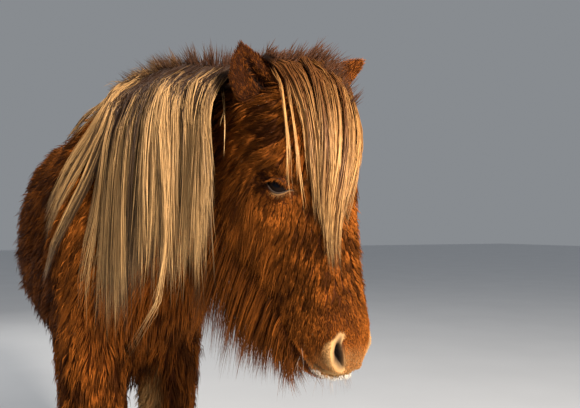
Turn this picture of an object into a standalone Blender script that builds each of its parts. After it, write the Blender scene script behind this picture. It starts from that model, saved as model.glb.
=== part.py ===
"""A life-size Icelandic horse in its winter coat, standing still with its head low and turned to its left.

Metres, +Z up. The horse faces -Y, so its left side is +X, and its hooves stand on z = 0.
The flesh is modelled whole from lofted sections, remeshed into one skin at the tips of the coat,
and parted with thin cuts. Mane, forelock, beard and tail are thick curtains laid over it.
"""

import math
from collections import namedtuple

import bmesh
import bpy
from mathutils import Matrix, Vector
from mathutils.bvhtree import BVHTree

# Driving dimensions
WITHERS = 1.385
BODY_FRONT = -0.72
BODY_BACK = 0.72
POLL = Vector((0.184, -1.150, 1.312))
HEAD_YAW = math.radians(24)
HEAD_PITCH = math.radians(10)
EYE_RADIUS = 0.022
EAR_LENGTH = 0.112
HOOF_HEIGHT = 0.072
LEG_SPREAD = 0.100
GAP = 0.0004
BODY_VOXEL = 0.012
BODY_TRIANGLES = 3100
HAIR_VOXEL = 0.009
BOX_CENTRE = Vector((-0.015, 0.178, 0.0))

# Head axes: DOWN runs from the poll to the lips, BACK from the face to the nape, LEFT to the horse's left.
FACING = Vector((math.sin(HEAD_YAW), -math.cos(HEAD_YAW), 0))
DOWN = (FACING * math.sin(HEAD_PITCH) - Vector((0, 0, math.cos(HEAD_PITCH)))).normalized()
LEFT = Vector((math.cos(HEAD_YAW), math.sin(HEAD_YAW), 0))
BACK = LEFT.cross(DOWN).normalized()

Section = namedtuple("Section", "centre side up half_width rise drop power taper")

COLOURS = {
    "coat": ((0.36, 0.13, 0.035), 0.8),
    "flaxen": ((0.66, 0.47, 0.25), 0.7),
    "eye": ((0.012, 0.009, 0.008), 0.1),
    "hoof": ((0.12, 0.09, 0.07), 0.5),
}


def clear_scene():
    for item in list(bpy.data.objects):
        bpy.data.objects.remove(item)


def material(slot):
    """The sub-part's Principled material, made once for each slot."""
    made = bpy.data.materials.get(slot)
    if made is None:
        colour, roughness = COLOURS[slot]
        made = bpy.data.materials.new(slot)
        made.use_nodes = True
        shader = made.node_tree.nodes["Principled BSDF"]
        shader.inputs["Base Color"].default_value = (*colour, 1)
        shader.inputs["Roughness"].default_value = roughness
    return made


def add_object(name, bm, slot="coat"):
    """A bmesh as a new object in the scene; the bmesh is freed."""
    mesh = bpy.data.meshes.new(name)
    bm.normal_update()
    bmesh.ops.recalc_face_normals(bm, faces=bm.faces)
    bm.to_mesh(mesh)
    bm.free()
    mesh.shade_smooth()
    item = bpy.data.objects.new(name, mesh)
    item.data.materials.append(material(slot))
    bpy.context.scene.collection.objects.link(item)
    return item


def bake(item):
    """Applies the object's modifiers, so that later cuts read plain geometry."""
    graph = bpy.context.evaluated_depsgraph_get()
    mesh = bpy.data.meshes.new_from_object(item.evaluated_get(graph))
    item.modifiers.clear()
    item.data = mesh
    return item


def section_point(section, angle):
    """A point of the section's outline: an ellipse squared off by power, narrowed below by taper."""
    c, s = math.cos(angle), math.sin(angle)
    across = math.copysign(abs(c) ** (2 / section.power), c)
    along = math.copysign(abs(s) ** (2 / section.power), s)
    reach = section.rise if along > 0 else section.drop
    width = section.half_width * (1 + section.taper * along)
    return section.centre + section.side * across * width + section.up * along * reach


def loft(sections, sides=28):
    """A closed bmesh skin through the sections, made by extruding one ring from each to the next."""
    bm = bmesh.new()
    bmesh.ops.create_circle(bm, segments=sides, radius=1)
    turn = bm.verts.layers.float.new("turn")
    for vert in bm.verts:
        vert[turn] = math.atan2(vert.co.y, vert.co.x)
    edges, ring = list(bm.edges), list(bm.verts)
    for number, section in enumerate(sections):
        if number:
            grown = bmesh.ops.extrude_edge_only(bm, edges=edges)["geom"]
            edges = [g for g in grown if isinstance(g, bmesh.types.BMEdge)]
            ring = [g for g in grown if isinstance(g, bmesh.types.BMVert)]
            edges = [e for e in edges if e.verts[0] in ring and e.verts[1] in ring]
        for vert in ring:
            vert.co = section_point(section, vert[turn])
    bmesh.ops.holes_fill(bm, edges=[e for e in bm.edges if e.is_boundary], sides=0)
    return bm


def ball(centre, axes, radii, segments=20):
    """An ellipsoid with its radii along three given axes."""
    bm = bmesh.new()
    bmesh.ops.create_uvsphere(bm, u_segments=segments, v_segments=segments // 2, radius=1)
    for vert in bm.verts:
        x, y, z = vert.co
        vert.co = centre + axes[0] * x * radii[0] + axes[1] * y * radii[1] + axes[2] * z * radii[2]
    return bm


def mix(a, b, t):
    return a + (b - a) * t


# The trunk

# share of the body's length from the breast, top, bottom and half width over the withers' height,
# where between them it is widest, and how square the section is
TRUNK = (
    (0.00, 0.775, 0.630, 0.068, 0.50, 2.1),
    (0.04, 0.850, 0.560, 0.112, 0.50, 2.1),
    (0.12, 0.950, 0.500, 0.142, 0.50, 2.1),
    (0.22, 1.003, 0.478, 0.158, 0.48, 2.1),
    (0.32, 0.983, 0.468, 0.174, 0.46, 2.2),
    (0.45, 0.956, 0.478, 0.190, 0.50, 2.05),
    (0.58, 0.955, 0.488, 0.194, 0.51, 2.05),
    (0.70, 0.980, 0.526, 0.184, 0.50, 2.2),
    (0.80, 0.998, 0.576, 0.172, 0.53, 2.2),
    (0.90, 0.975, 0.625, 0.156, 0.54, 2.3),
    (0.97, 0.920, 0.660, 0.128, 0.52, 2.3),
    (1.00, 0.865, 0.720, 0.083, 0.50, 2.1),
)


def trunk():
    sections = []
    for share, top, bottom, half_width, widest, power in TRUNK:
        top, bottom = top * WITHERS, bottom * WITHERS
        middle = mix(bottom, top, widest)
        centre = Vector((0, mix(BODY_FRONT, BODY_BACK, share), middle))
        sections.append(
            Section(centre, Vector((1, 0, 0)), Vector((0, 0, 1)), half_width * WITHERS,
                    top - middle, middle - bottom, power, -0.08)
        )
    return loft(sections)


# The neck, from inside the shoulders to inside the skull

# share of the way, half width, half depth
NECK = (
    (0.00, 0.165, 0.310),
    (0.20, 0.146, 0.278),
    (0.42, 0.118, 0.235),
    (0.62, 0.104, 0.196),
    (0.80, 0.096, 0.166),
    (1.00, 0.088, 0.145),
)
NECK_ROOT = Vector((0.0, -0.36, 1.075))
NECK_BEND = Vector((0.015, -0.78, 1.225))
NECK_END = POLL + DOWN * 0.115 + BACK * 0.15


def neck_point(share):
    """A point of the neck's middle line, a quadratic curve that bends to the left."""
    near, far = mix(NECK_ROOT, NECK_BEND, share), mix(NECK_BEND, NECK_END, share)
    return mix(near, far, share)


def neck():
    sections = []
    for share, half_width, half_depth in NECK:
        along = (neck_point(share + 0.01) - neck_point(share - 0.01)).normalized()
        side = along.cross(Vector((0, 0, 1))).normalized()
        up = side.cross(along).normalized()
        sections.append(Section(neck_point(share), side, up, half_width, half_depth, half_depth, 2.1, -0.12))
    return loft(sections)


# The head

# distance below the poll, face behind the profile line, depth, half width, taper to the jaw
HEAD = (
    (-0.030, 0.070, 0.090, 0.045, 0.0),
    (-0.008, 0.030, 0.190, 0.078, 0.0),
    (0.050, 0.006, 0.262, 0.094, 0.05),
    (0.120, -0.008, 0.287, 0.102, 0.12),
    (0.185, -0.008, 0.296, 0.105, 0.18),
    (0.240, -0.006, 0.288, 0.095, 0.16),
    (0.295, -0.006, 0.259, 0.083, 0.12),
    (0.345, -0.006, 0.216, 0.071, 0.10),
    (0.395, -0.007, 0.181, 0.064, 0.08),
    (0.445, -0.008, 0.163, 0.063, 0.06),
    (0.486, 0.001, 0.142, 0.058, 0.04),
    (0.515, 0.018, 0.106, 0.046, 0.0),
    (0.532, 0.040, 0.060, 0.028, 0.0),
)
EYE_PLACE = (0.205, 0.062, 0.094)


def head_point(down, back, left=0.0):
    """A place in the head's own axes, measured from the poll on the profile line."""
    return POLL + DOWN * down + BACK * back + LEFT * left


def head():
    sections = []
    for down, face, depth, half_width, taper in HEAD:
        centre = head_point(down, face + depth / 2)
        sections.append(Section(centre, LEFT, -BACK, half_width, depth / 2, depth / 2, 2.3, taper))
    return loft(sections, 36)


def head_forms():
    """What stands out of the skull's loft: cheeks, brows, nostril wings, lips and chin."""
    axes = (LEFT, DOWN, BACK)
    forms = [
        ball(head_point(0.490, 0.116), axes, (0.036, 0.034, 0.030)),
        ball(head_point(0.506, 0.050), axes, (0.046, 0.028, 0.036)),
    ]
    for side in (-1, 1):
        forms += [
            ball(head_point(0.215, 0.170, side * 0.034), axes, (0.066, 0.100, 0.098)),
            ball(head_point(0.168, 0.060, side * 0.072), axes, (0.034, 0.036, 0.045)),
            ball(head_point(0.472, 0.036, side * 0.040), axes, (0.027, 0.034, 0.028)),
        ]
    return forms


# The legs

# height, behind the foot, half width, half depth
FORE_LEG = (
    (0.980, -0.030, 0.085, 0.140),
    (0.840, -0.015, 0.092, 0.138),
    (0.740, 0.000, 0.088, 0.118),
    (0.640, 0.006, 0.082, 0.102),
    (0.550, 0.006, 0.074, 0.085),
    (0.470, 0.002, 0.061, 0.066),
    (0.410, -0.004, 0.057, 0.061),
    (0.350, 0.002, 0.048, 0.053),
    (0.270, 0.006, 0.038, 0.050),
    (0.200, 0.006, 0.042, 0.056),
    (0.155, 0.004, 0.047, 0.062),
    (0.110, -0.012, 0.045, 0.057),
    (0.060, -0.026, 0.052, 0.064),
    (0.020, -0.030, 0.056, 0.068),
)
HIND_LEG = (
    (1.120, -0.080, 0.110, 0.190),
    (0.980, -0.090, 0.112, 0.190),
    (0.850, -0.080, 0.098, 0.165),
    (0.740, -0.040, 0.080, 0.125),
    (0.640, 0.015, 0.064, 0.092),
    (0.560, 0.052, 0.055, 0.080),
    (0.500, 0.058, 0.052, 0.074),
    (0.430, 0.046, 0.045, 0.060),
    (0.320, 0.030, 0.041, 0.054),
    (0.220, 0.018, 0.045, 0.060),
    (0.165, 0.010, 0.049, 0.065),
    (0.115, -0.012, 0.046, 0.058),
    (0.060, -0.028, 0.052, 0.064),
    (0.020, -0.032, 0.056, 0.068),
)


def stood_under(rows, by):
    """The same leg with its foot that much further forward under the body than its hip."""
    return tuple(
        (height, behind + by * max(height - 0.56, 0.0) / 0.44, *size) for height, behind, *size in rows
    )


# Leg name, sections, foot's place across and along the body
FEET = {
    "fore_right": (FORE_LEG, Vector((-LEG_SPREAD - 0.006, -0.520, 0))),
    "fore_left": (FORE_LEG, Vector((LEG_SPREAD - 0.020, -0.480, 0))),
    "hind_right": (stood_under(HIND_LEG, 0.06), Vector((0.027 - LEG_SPREAD, 0.425, 0))),
    "hind_left": (HIND_LEG, Vector((LEG_SPREAD + 0.01, 0.560, 0))),
}


def leg(rows, foot):
    sections = []
    for height, behind, half_width, half_depth in rows:
        centre = foot + Vector((0, behind, height))
        sections.append(
            Section(centre, Vector((1, 0, 0)), Vector((0, -1, 0)), half_width, half_depth, half_depth, 2.1, 0)
        )
    return loft(sections, 20)


def hoof(name, foot):
    """A hoof: a round wall that spreads from the coronet down to a flat sole."""
    spread = ((HOOF_HEIGHT, 0.0, 0.048, 0.058), (0.030, -0.008, 0.055, 0.065), (0.0, -0.015, 0.060, 0.070))
    sections = [
        Section(foot + Vector((0, -0.030 + ahead, height)), Vector((1, 0, 0)), Vector((0, -1, 0)),
                half_width, half_depth, half_depth * 0.86, 2.2, -0.06)
        for height, ahead, half_width, half_depth in spread
    ]
    return add_object(name, loft(sections, 28), "hoof")


# The whole body and its cuts

def whole_body():
    """All flesh as one smooth closed skin at the tips of the coat."""
    bm = bmesh.new()
    for piece in (trunk(), neck(), head(), *head_forms(), *(leg(*FEET[k]) for k in FEET)):
        piece.normal_update()
        bmesh.ops.recalc_face_normals(piece, faces=piece.faces)
        mesh = bpy.data.meshes.new("piece")
        piece.to_mesh(mesh)
        piece.free()
        bm.from_mesh(mesh)
        bpy.data.meshes.remove(mesh)
    body = add_object("body", bm)
    remesh = body.modifiers.new("one skin", "REMESH")
    remesh.mode = "VOXEL"
    remesh.voxel_size = BODY_VOXEL
    smooth = body.modifiers.new("soften the joints", "SMOOTH")
    smooth.factor = 0.6
    smooth.iterations = 10
    bake(body)
    fine = body.vertex_groups.new(name="head")
    for vert in body.data.vertices:
        depth = (vert.co - NECK_END).dot(DOWN - BACK)
        on_head = depth > -0.12 and vert.co.y < -0.9
        fine.add([vert.index], 0.6 if on_head or vert.co.z < 0.7 else 1.0, "REPLACE")
    decimate = body.modifiers.new("fewer triangles", "DECIMATE")
    decimate.ratio = BODY_TRIANGLES / (2 * len(body.data.polygons))
    decimate.vertex_group = "head"
    decimate.use_collapse_triangulate = True
    return bake(body)


def copy_of(item, name):
    twin = item.copy()
    twin.data = item.data.copy()
    twin.name = name
    bpy.context.scene.collection.objects.link(twin)
    return twin


def boolean(item, cutter, operation):
    """One EXACT Boolean, applied."""
    step = item.modifiers.new(operation.lower(), "BOOLEAN")
    step.operation = operation
    step.object = cutter
    return bake(item)


def region(centre, size, turn=None):
    """A box cutter, kept out of the model."""
    bm = bmesh.new()
    bmesh.ops.create_cube(bm, size=1)
    bmesh.ops.scale(bm, vec=size, verts=bm.verts)
    if turn:
        bmesh.ops.rotate(bm, cent=Vector(), matrix=turn, verts=bm.verts)
    bmesh.ops.translate(bm, vec=centre, verts=bm.verts)
    cutter = add_object("cutter", bm)
    cutter.hide_render = True
    cutter.display_type = "WIRE"
    return cutter


def slab(item, name, cuts):
    """The part of item on the far side of each (point, normal) plane, half a gap away from it."""
    piece = copy_of(item, name)
    bm = bmesh.new()
    bm.from_mesh(piece.data)
    for point, normal in cuts:
        normal = normal.normalized()
        everything = bm.verts[:] + bm.edges[:] + bm.faces[:]
        bmesh.ops.bisect_plane(bm, geom=everything, plane_co=point + normal * GAP / 2, plane_no=normal,
                               dist=1e-6, clear_inner=True)
        bmesh.ops.holes_fill(bm, edges=[e for e in bm.edges if e.is_boundary], sides=0)
    bmesh.ops.triangulate(bm, faces=[f for f in bm.faces if len(f.verts) > 4])
    bm.to_mesh(piece.data)
    bm.free()
    return piece


def grown(item, by=GAP):
    """A hidden copy of item, larger by a gap on every side, to seat its neighbours against."""
    cutter = copy_of(item, "cutter")
    bm = bmesh.new()
    bm.from_mesh(cutter.data)
    bm.normal_update()
    for vert in bm.verts:
        vert.co += vert.normal * by
    bm.to_mesh(cutter.data)
    bm.free()
    cutter.hide_render = True
    cutter.display_type = "WIRE"
    return cutter


def keep_largest(item):
    """Drops the crumbs that a cut can leave beside the piece."""
    bm = bmesh.new()
    bm.from_mesh(item.data)
    left, groups = set(bm.verts), []
    while left:
        group, queue = set(), [left.pop()]
        while queue:
            vert = queue.pop()
            group.add(vert)
            near = {edge.other_vert(vert) for edge in vert.link_edges} & left
            left -= near
            queue += near
        groups.append(group)
    largest = max(groups, key=len)
    bmesh.ops.delete(bm, geom=[v for v in bm.verts if v not in largest], context="VERTS")
    bm.to_mesh(item.data)
    bm.free()
    return item


# for each pair of legs: the heights of knee or hock and of fetlock, and the slanted cut that frees
# the leg from the trunk, by its tilt, its height on the leg's middle line, its place and its length
LEG_LEVELS = {"fore": (0.500, 0.215), "hind": (0.620, 0.222)}
LEG_CUTS = {"fore": (math.radians(36), 0.745, -0.505, 0.37), "hind": (math.radians(24), 0.885, 0.57, 0.50)}
BETWEEN_LEGS = 0.016


def leg_region(kind, side, extra=0.0):
    """The slanted box that holds one leg, kept to its own side of the body."""
    tilt, top, along, length = LEG_CUTS[kind]
    reach, height = 1.8, 1.6
    turn = Matrix.Rotation(-side * tilt, 3, "Y")
    centre = Vector((side * 0.145, along, top)) - turn @ Vector((0, 0, height / 2))
    slanted = region(centre, (reach + extra, length + extra, height + extra), turn)
    half = region(Vector((side * 0.5, 0, 0.5)), (1 - BETWEEN_LEGS + extra, 4, 4))
    return boolean(slanted, half, "INTERSECT")


def part_legs(body):
    """Takes each leg off the body and cuts it at knee or hock and at fetlock."""
    up = Vector((0, 0, 1))
    for name, (_, foot) in FEET.items():
        kind = name.split("_")[0]
        side = math.copysign(1, foot.x)
        whole = keep_largest(boolean(copy_of(body, "leg"), leg_region(kind, side), "INTERSECT"))
        boolean(body, leg_region(kind, side, 2 * GAP), "DIFFERENCE")
        upper, lower = LEG_LEVELS[kind]
        slab(whole, f"{name}_upper", [(up * upper, up)])
        slab(whole, f"{name}_cannon", [(up * lower, up), (up * upper, -up)])
        slab(whole, f"{name}_pastern", [(up * HOOF_HEIGHT, up), (up * lower, -up)])
        bpy.data.objects.remove(whole)
        hoof(f"{name}_hoof", foot)


HEAD_CUT = (head_point(0.10, 0.215), (-DOWN * 0.16 + BACK * 0.30))
NECK_CUT = (Vector((0, -0.560, 1.20)), Vector((0, -0.47, 0.20)))
CHEST_CUT = (Vector((0, -0.215, 0)), Vector((0, 1, 0)))
HIND_CUT = (Vector((0, 0.290, 0)), Vector((0, 1, 0)))


def part_trunk(body):
    """Cuts what the legs leave into head, neck, chest, barrel and hindquarters."""
    return {
        "head": slab(body, "head", [(HEAD_CUT[0], -HEAD_CUT[1])]),
        "neck": slab(body, "neck", [HEAD_CUT, NECK_CUT]),
        "chest": slab(body, "chest", [(NECK_CUT[0], -NECK_CUT[1]), (CHEST_CUT[0], -CHEST_CUT[1])]),
        "barrel": slab(body, "barrel", [CHEST_CUT, (HIND_CUT[0], -HIND_CUT[1])]),
        "hindquarters": slab(body, "hindquarters", [HIND_CUT]),
    }


# Eyes and ears

def eye(side, skull):
    """An eyeball in its own socket; the socket is cut a gap wider than the ball."""
    down, back, left = EYE_PLACE
    centre = head_point(down, back, side * (left - EYE_RADIUS * 0.55))
    axes = (LEFT, DOWN, BACK)
    name = "eye_left" if side > 0 else "eye_right"
    socket = add_object("cutter", ball(centre, axes, [EYE_RADIUS + GAP] * 3, 14))
    socket.hide_render = True
    socket.display_type = "WIRE"
    boolean(skull, socket, "DIFFERENCE")
    return add_object(name, ball(centre, axes, [EYE_RADIUS] * 3, 14), "eye")


# each ear's root and lean in the head's axes (down, back, left), and its share of the full width
EARS = {
    "ear_right": ((0.042, 0.085, -0.062), (-0.86, 0.02, -0.35), 1.0),
    "ear_left": ((0.032, 0.062, 0.070), (-0.66, -0.62, 0.64), 0.78),
}


def ear(name):
    """A short furry ear: a leaf that swells from its root, hollowed a little in front."""
    place, (down, back, left), narrowing = EARS[name]
    axis = (DOWN * down + BACK * back + LEFT * left).normalized()
    front = (-BACK + LEFT * math.copysign(0.45, left)).normalized()
    across = axis.cross(front).normalized()
    front = across.cross(axis).normalized()
    root = head_point(*place)
    shape = ((-0.22, 0.036, 0.026), (0.0, 0.046, 0.030), (0.25, 0.052, 0.025), (0.48, 0.051, 0.019),
             (0.70, 0.042, 0.014), (0.88, 0.024, 0.010), (1.0, 0.004, 0.004))
    sections = []
    for share, half_width, half_depth in shape:
        centre = root + axis * share * EAR_LENGTH - front * 0.012 * math.sin(math.pi * max(share, 0))
        wide = half_width * narrowing
        sections.append(Section(centre, across, front, wide, half_depth * 0.35, half_depth, 2.0, 0))
    return loft(sections, 18)


# Long hair: strands are let fall over the body, and each curtain is their sheet made thick

def fall(tree, root, heading, length, steps, clearance, sweep, stiffness):
    """The path of one lock: it leaves its root along heading, bends down and slides over the body."""
    points, direction, step = [root], heading.normalized(), length / steps
    for number in range(steps):
        wanted = (Vector((0, 0, -1)) + sweep).normalized()
        direction = (direction * stiffness + wanted * (1 - stiffness)).normalized()
        place = points[-1] + direction * step
        surface, normal, _, distance = tree.find_nearest(place)
        depth = (place - surface).dot(normal)
        if depth < clearance:
            place = surface + normal * clearance
        direction = (place - points[-1]).normalized()
        points.append(place)
    return points


def curtain(name, lines, depth, outward, triangles):
    """A closed sheet over the lines, thickened away from the body by depth(across, down)."""
    bm = bmesh.new()
    rows, columns = len(lines) - 1, len(lines[0]) - 1
    bmesh.ops.create_grid(bm, x_segments=rows, y_segments=columns, size=0.5)
    across, down = bm.verts.layers.float.new("across"), bm.verts.layers.float.new("down")
    for vert in bm.verts:
        vert[across], vert[down] = vert.co.x + 0.5, vert.co.y + 0.5
        vert.co = lines[round(vert[across] * rows)][round(vert[down] * columns)]
    bm.normal_update()
    if sum((face.normal for face in bm.faces), Vector()).dot(outward) < 0:
        bmesh.ops.reverse_faces(bm, faces=bm.faces)
        bm.normal_update()
    made = bmesh.ops.extrude_face_region(bm, geom=bm.faces[:])["geom"]
    bm.normal_update()
    for vert in [g for g in made if isinstance(g, bmesh.types.BMVert)]:
        vert.co += vert.normal * depth(vert[across], vert[down])
    item = add_object(name, bm, "flaxen")
    remesh = item.modifiers.new("one skin", "REMESH")
    remesh.mode = "VOXEL"
    remesh.voxel_size = HAIR_VOXEL
    smooth = item.modifiers.new("soften", "SMOOTH")
    smooth.iterations = 4
    bake(item)
    decimate = item.modifiers.new("fewer triangles", "DECIMATE")
    decimate.ratio = triangles / (2 * len(item.data.polygons))
    decimate.use_collapse_triangulate = True
    return bake(item)


def crest(share):
    """A point on the top line of the neck, from the poll at 0 to the withers at 1."""
    way = mix(1.02, 0.06, share)
    along = (neck_point(way + 0.01) - neck_point(way - 0.01)).normalized()
    side = along.cross(Vector((0, 0, 1))).normalized()
    depth = NECK[-1][2]
    for (a, _, near), (b, _, far) in zip(NECK, NECK[1:]):
        if a <= way <= b:
            depth = mix(near, far, (way - a) / (b - a))
    return neck_point(way) + side.cross(along).normalized() * depth


MANE = {"lines": 24, "steps": 13, "longest": 0.62, "shortest": 0.42, "triangles": 760}


def mane_depth(across, down):
    """Thick on the crest and behind the ears, thin at the tips and toward the withers."""
    return mix(0.038, 0.020, down ** 0.7) * mix(1.0, 0.55, across ** 2)


def mane(tree):
    """The mane falls to the right from the whole crest; it is longest over the middle of the neck."""
    lines = []
    for number in range(MANE["lines"]):
        share = number / (MANE["lines"] - 1)
        length = mix(MANE["shortest"], MANE["longest"], math.sin(math.pi * min(1, 0.18 + share * 0.68)))
        heading = Vector((-0.72, 0, 0.55))
        sweep = Vector((0, -0.10 * (1 - share), 0))
        surface, normal, _, _ = tree.find_nearest(crest(share) + Vector((0.02, 0, 0.05)))
        lines.append(fall(tree, surface, heading, length, MANE["steps"], -0.004, sweep, 0.6))
    return curtain("mane", lines, mane_depth, Vector((-1, 0, 0.3)), MANE["triangles"])


# root's and tip's place across the face, right to left, and the longest lock
FORELOCK = {"lines": 13, "steps": 10, "root": (-0.092, 0.098), "tip": (-0.100, 0.034), "longest": 0.375,
            "triangles": 300}


def forelock_depth(across, down):
    return mix(0.050, 0.017, down ** 0.8)


def forelock(tree):
    """The forelock springs from between the ears and gathers to a tip over the bridge of the nose."""
    lines = []
    for number in range(FORELOCK["lines"]):
        share = number / (FORELOCK["lines"] - 1)
        length = FORELOCK["longest"] * mix(0.66, 1.0, math.sin(math.pi * mix(0.12, 0.92, share)) ** 1.5)
        line = []
        for step in range(FORELOCK["steps"] + 1):
            way = step / FORELOCK["steps"]
            across = mix(mix(*FORELOCK["root"], share), mix(*FORELOCK["tip"], share), way ** 1.3)
            above = head_point(-0.030 + length * way, -0.02 + 0.05 * (1 - way) ** 3, across)
            surface, normal, _, _ = tree.find_nearest(above)
            line.append(surface - normal * 0.004)
        lines.append(line)
    return curtain("forelock", lines, forelock_depth, -BACK, FORELOCK["triangles"])


BEARD = {"from": 0.235, "to": 0.455, "longest": 0.208, "shortest": 0.045, "lean": 0.085, "half_width": 0.042}


def beard():
    """Long hair under the jaw, from the round of the cheek to the chin."""
    sections = []
    stations = 8
    for number in range(stations):
        share = number / (stations - 1)
        root = head_point(mix(BEARD["from"], BEARD["to"], share), mix(0.245, 0.110, share ** 0.9))
        length = mix(BEARD["longest"], BEARD["shortest"], share ** 2.2)
        tip = root + Vector((0, 0, -1)) * length + BACK * BEARD["lean"] * (1 - share) ** 0.8
        middle = (root + tip) / 2
        up = (root - tip).normalized()
        half = (root - tip).length / 2
        swell = math.sin(math.pi * mix(0.2, 0.88, share))
        width = BEARD["half_width"] * mix(0.6, 1, swell)
        sections.append(Section(middle, LEFT, up, width, half, half, 1.8, 0.35))
    return add_object("beard", loft(sections, 16), "coat")


# height, behind the buttocks, half width, half depth
TAIL = (
    (1.215, -0.035, 0.030, 0.030),
    (1.200, 0.020, 0.050, 0.042),
    (1.120, 0.062, 0.066, 0.050),
    (0.980, 0.084, 0.086, 0.060),
    (0.800, 0.092, 0.100, 0.066),
    (0.600, 0.092, 0.100, 0.064),
    (0.420, 0.088, 0.086, 0.054),
    (0.280, 0.082, 0.058, 0.036),
    (0.200, 0.078, 0.020, 0.014),
)


def tail():
    sections = [
        Section(Vector((0, BODY_BACK + behind, height)), Vector((1, 0, 0)), Vector((0, -1, 0)),
                half_width, half_depth, half_depth, 2.0, 0)
        for height, behind, half_width, half_depth in TAIL
    ]
    return add_object("tail", loft(sections, 18), "flaxen")


def body_tree(body):
    bm = bmesh.new()
    bm.from_mesh(body.data)
    tree = BVHTree.FromBMesh(bm)
    bm.free()
    return tree


def centre_on_floor():
    """Brings the middle of the horse's box to the origin."""
    for item in bpy.context.scene.objects:
        item.data.transform(Matrix.Translation(BOX_CENTRE))


def build():
    clear_scene()
    body = whole_body()
    tree = body_tree(body)
    flesh = copy_of(body, "flesh")
    part_legs(body)
    parts = part_trunk(body)
    bpy.data.objects.remove(body)
    against = grown(flesh)
    bpy.data.objects.remove(flesh)
    for side in (-1, 1):
        eye(side, parts["head"])
    ears = {name: add_object(name, ear(name)) for name in EARS}
    for item in ears.values():
        keep_largest(boolean(item, against, "DIFFERENCE"))
    hair = [mane(tree), forelock(tree), beard(), tail()]
    for item in hair:
        boolean(item, against, "DIFFERENCE")
        for other in ears.values():
            boolean(item, grown(other), "DIFFERENCE")
        keep_largest(item)
    boolean(hair[1], grown(hair[0]), "DIFFERENCE")
    keep_largest(hair[1])
    for item in list(bpy.context.scene.objects):
        if item.hide_render:
            bpy.data.objects.remove(item)
    centre_on_floor()


build()
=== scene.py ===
import math

import bmesh
import bpy
import numpy as np
from mathutils import Matrix, Vector
from mathutils.bvhtree import BVHTree
from mathutils.kdtree import KDTree


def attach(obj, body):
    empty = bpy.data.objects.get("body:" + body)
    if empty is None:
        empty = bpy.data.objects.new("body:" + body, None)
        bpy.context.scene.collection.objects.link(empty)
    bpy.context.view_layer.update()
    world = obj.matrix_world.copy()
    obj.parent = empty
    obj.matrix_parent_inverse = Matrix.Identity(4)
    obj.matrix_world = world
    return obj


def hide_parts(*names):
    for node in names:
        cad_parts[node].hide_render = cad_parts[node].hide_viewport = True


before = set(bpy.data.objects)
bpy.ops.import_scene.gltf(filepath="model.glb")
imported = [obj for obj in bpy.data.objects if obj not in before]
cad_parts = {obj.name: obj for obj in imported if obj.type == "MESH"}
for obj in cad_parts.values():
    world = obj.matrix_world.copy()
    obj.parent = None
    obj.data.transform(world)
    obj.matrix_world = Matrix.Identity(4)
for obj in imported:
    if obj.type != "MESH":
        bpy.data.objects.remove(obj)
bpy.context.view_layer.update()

# The horse faces -Y and its left side is +X. The head has its own three directions:
# down runs from the poll to the lips, back from the face to the nape, left to the horse's left.
poll = Vector((0.169, -0.972, 1.312))
headYaw = math.radians(24)
headPitch = math.radians(10)
facing = Vector((math.sin(headYaw), -math.cos(headYaw), 0))
headDown = (facing * math.sin(headPitch) - Vector((0, 0, math.cos(headPitch)))).normalized()
headLeft = Vector((math.cos(headYaw), math.sin(headYaw), 0))
headBack = headLeft.cross(headDown).normalized()
headAxes = np.array([headDown, headBack, headLeft])
bodyMiddle = -0.015     # the trunk's mid plane, in x
rumpY = 0.898
foreLegY, hindLegY = -0.33, 0.70
midLength = 0.2         # y between the forelegs and the hindlegs
legTop = 0.66           # above it the coat is the trunk's
hoofTop = 0.080
overhead = 1.7          # a height clear of the whole horse

neckRoot = Vector((-0.015, -0.182, 1.075))
neckBend = Vector((0.0, -0.602, 1.225))
neckEnd = poll + headDown * 0.115 + headBack * 0.15

legNames = ["fore_right", "fore_left", "hind_right", "hind_left"]
legParts = [f"{leg}_{part}" for leg in legNames for part in ("upper", "cannon", "pastern")]
earNames = ("ear_right", "ear_left")
fleshNodes = ["neck", "chest", "barrel", "hindquarters", "head", *earNames, *legParts]


def headPoint(down, back, left=0.0):
    return poll + headDown * down + headBack * back + headLeft * left


def mix(a, b, t):
    return a + (b - a) * t


def smooth(low, high, value):
    t = np.clip((value - low) / (high - low), 0, 1)
    return t * t * (3 - 2 * t)


def unit(vectors):
    return vectors / np.maximum(np.linalg.norm(vectors, axis=-1, keepdims=True), 1e-9)


def headPlace(points):
    # down, back and left of each point
    return ((points - np.array(poll)) @ headAxes.T).T


def ripple(points, scale, seed):
    # soft noise over space, about -1 to 1
    rng = np.random.default_rng(seed)
    total = np.zeros(len(points))
    for _ in range(6):
        total += np.sin(points @ (rng.normal(size=3) * scale) + rng.uniform(0, 2 * math.pi))
    return total / 2.6


def neckPoint(share):
    near, far = mix(neckRoot, neckBend, share), mix(neckBend, neckEnd, share)
    return mix(near, far, share)


neckLine = np.array([neckPoint(way) for way in np.linspace(0, 1, 50)])


# Where things are on the body

# each ear's root and direction in the head's directions, and how far its opening turns outward
earSettings = {
    "length": 0.112, "halfWidth": 0.036,
    "ear_right": ((0.042, 0.085, -0.062), (-0.86, 0.02, -0.35), 0.45),
    "ear_left": ((0.032, 0.062, 0.070), (-0.66, -0.62, 0.64), 1.9),
}


def earFrame(name):
    # root, and the directions along, across and to the open side of one ear
    place, (down, back, left), outward = earSettings[name]
    along = (headDown * down + headBack * back + headLeft * left).normalized()
    front = (-headBack + headLeft * math.copysign(outward, left)).normalized()
    across = along.cross(front).normalized()
    return headPoint(*place), along, across, across.cross(along).normalized()


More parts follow.
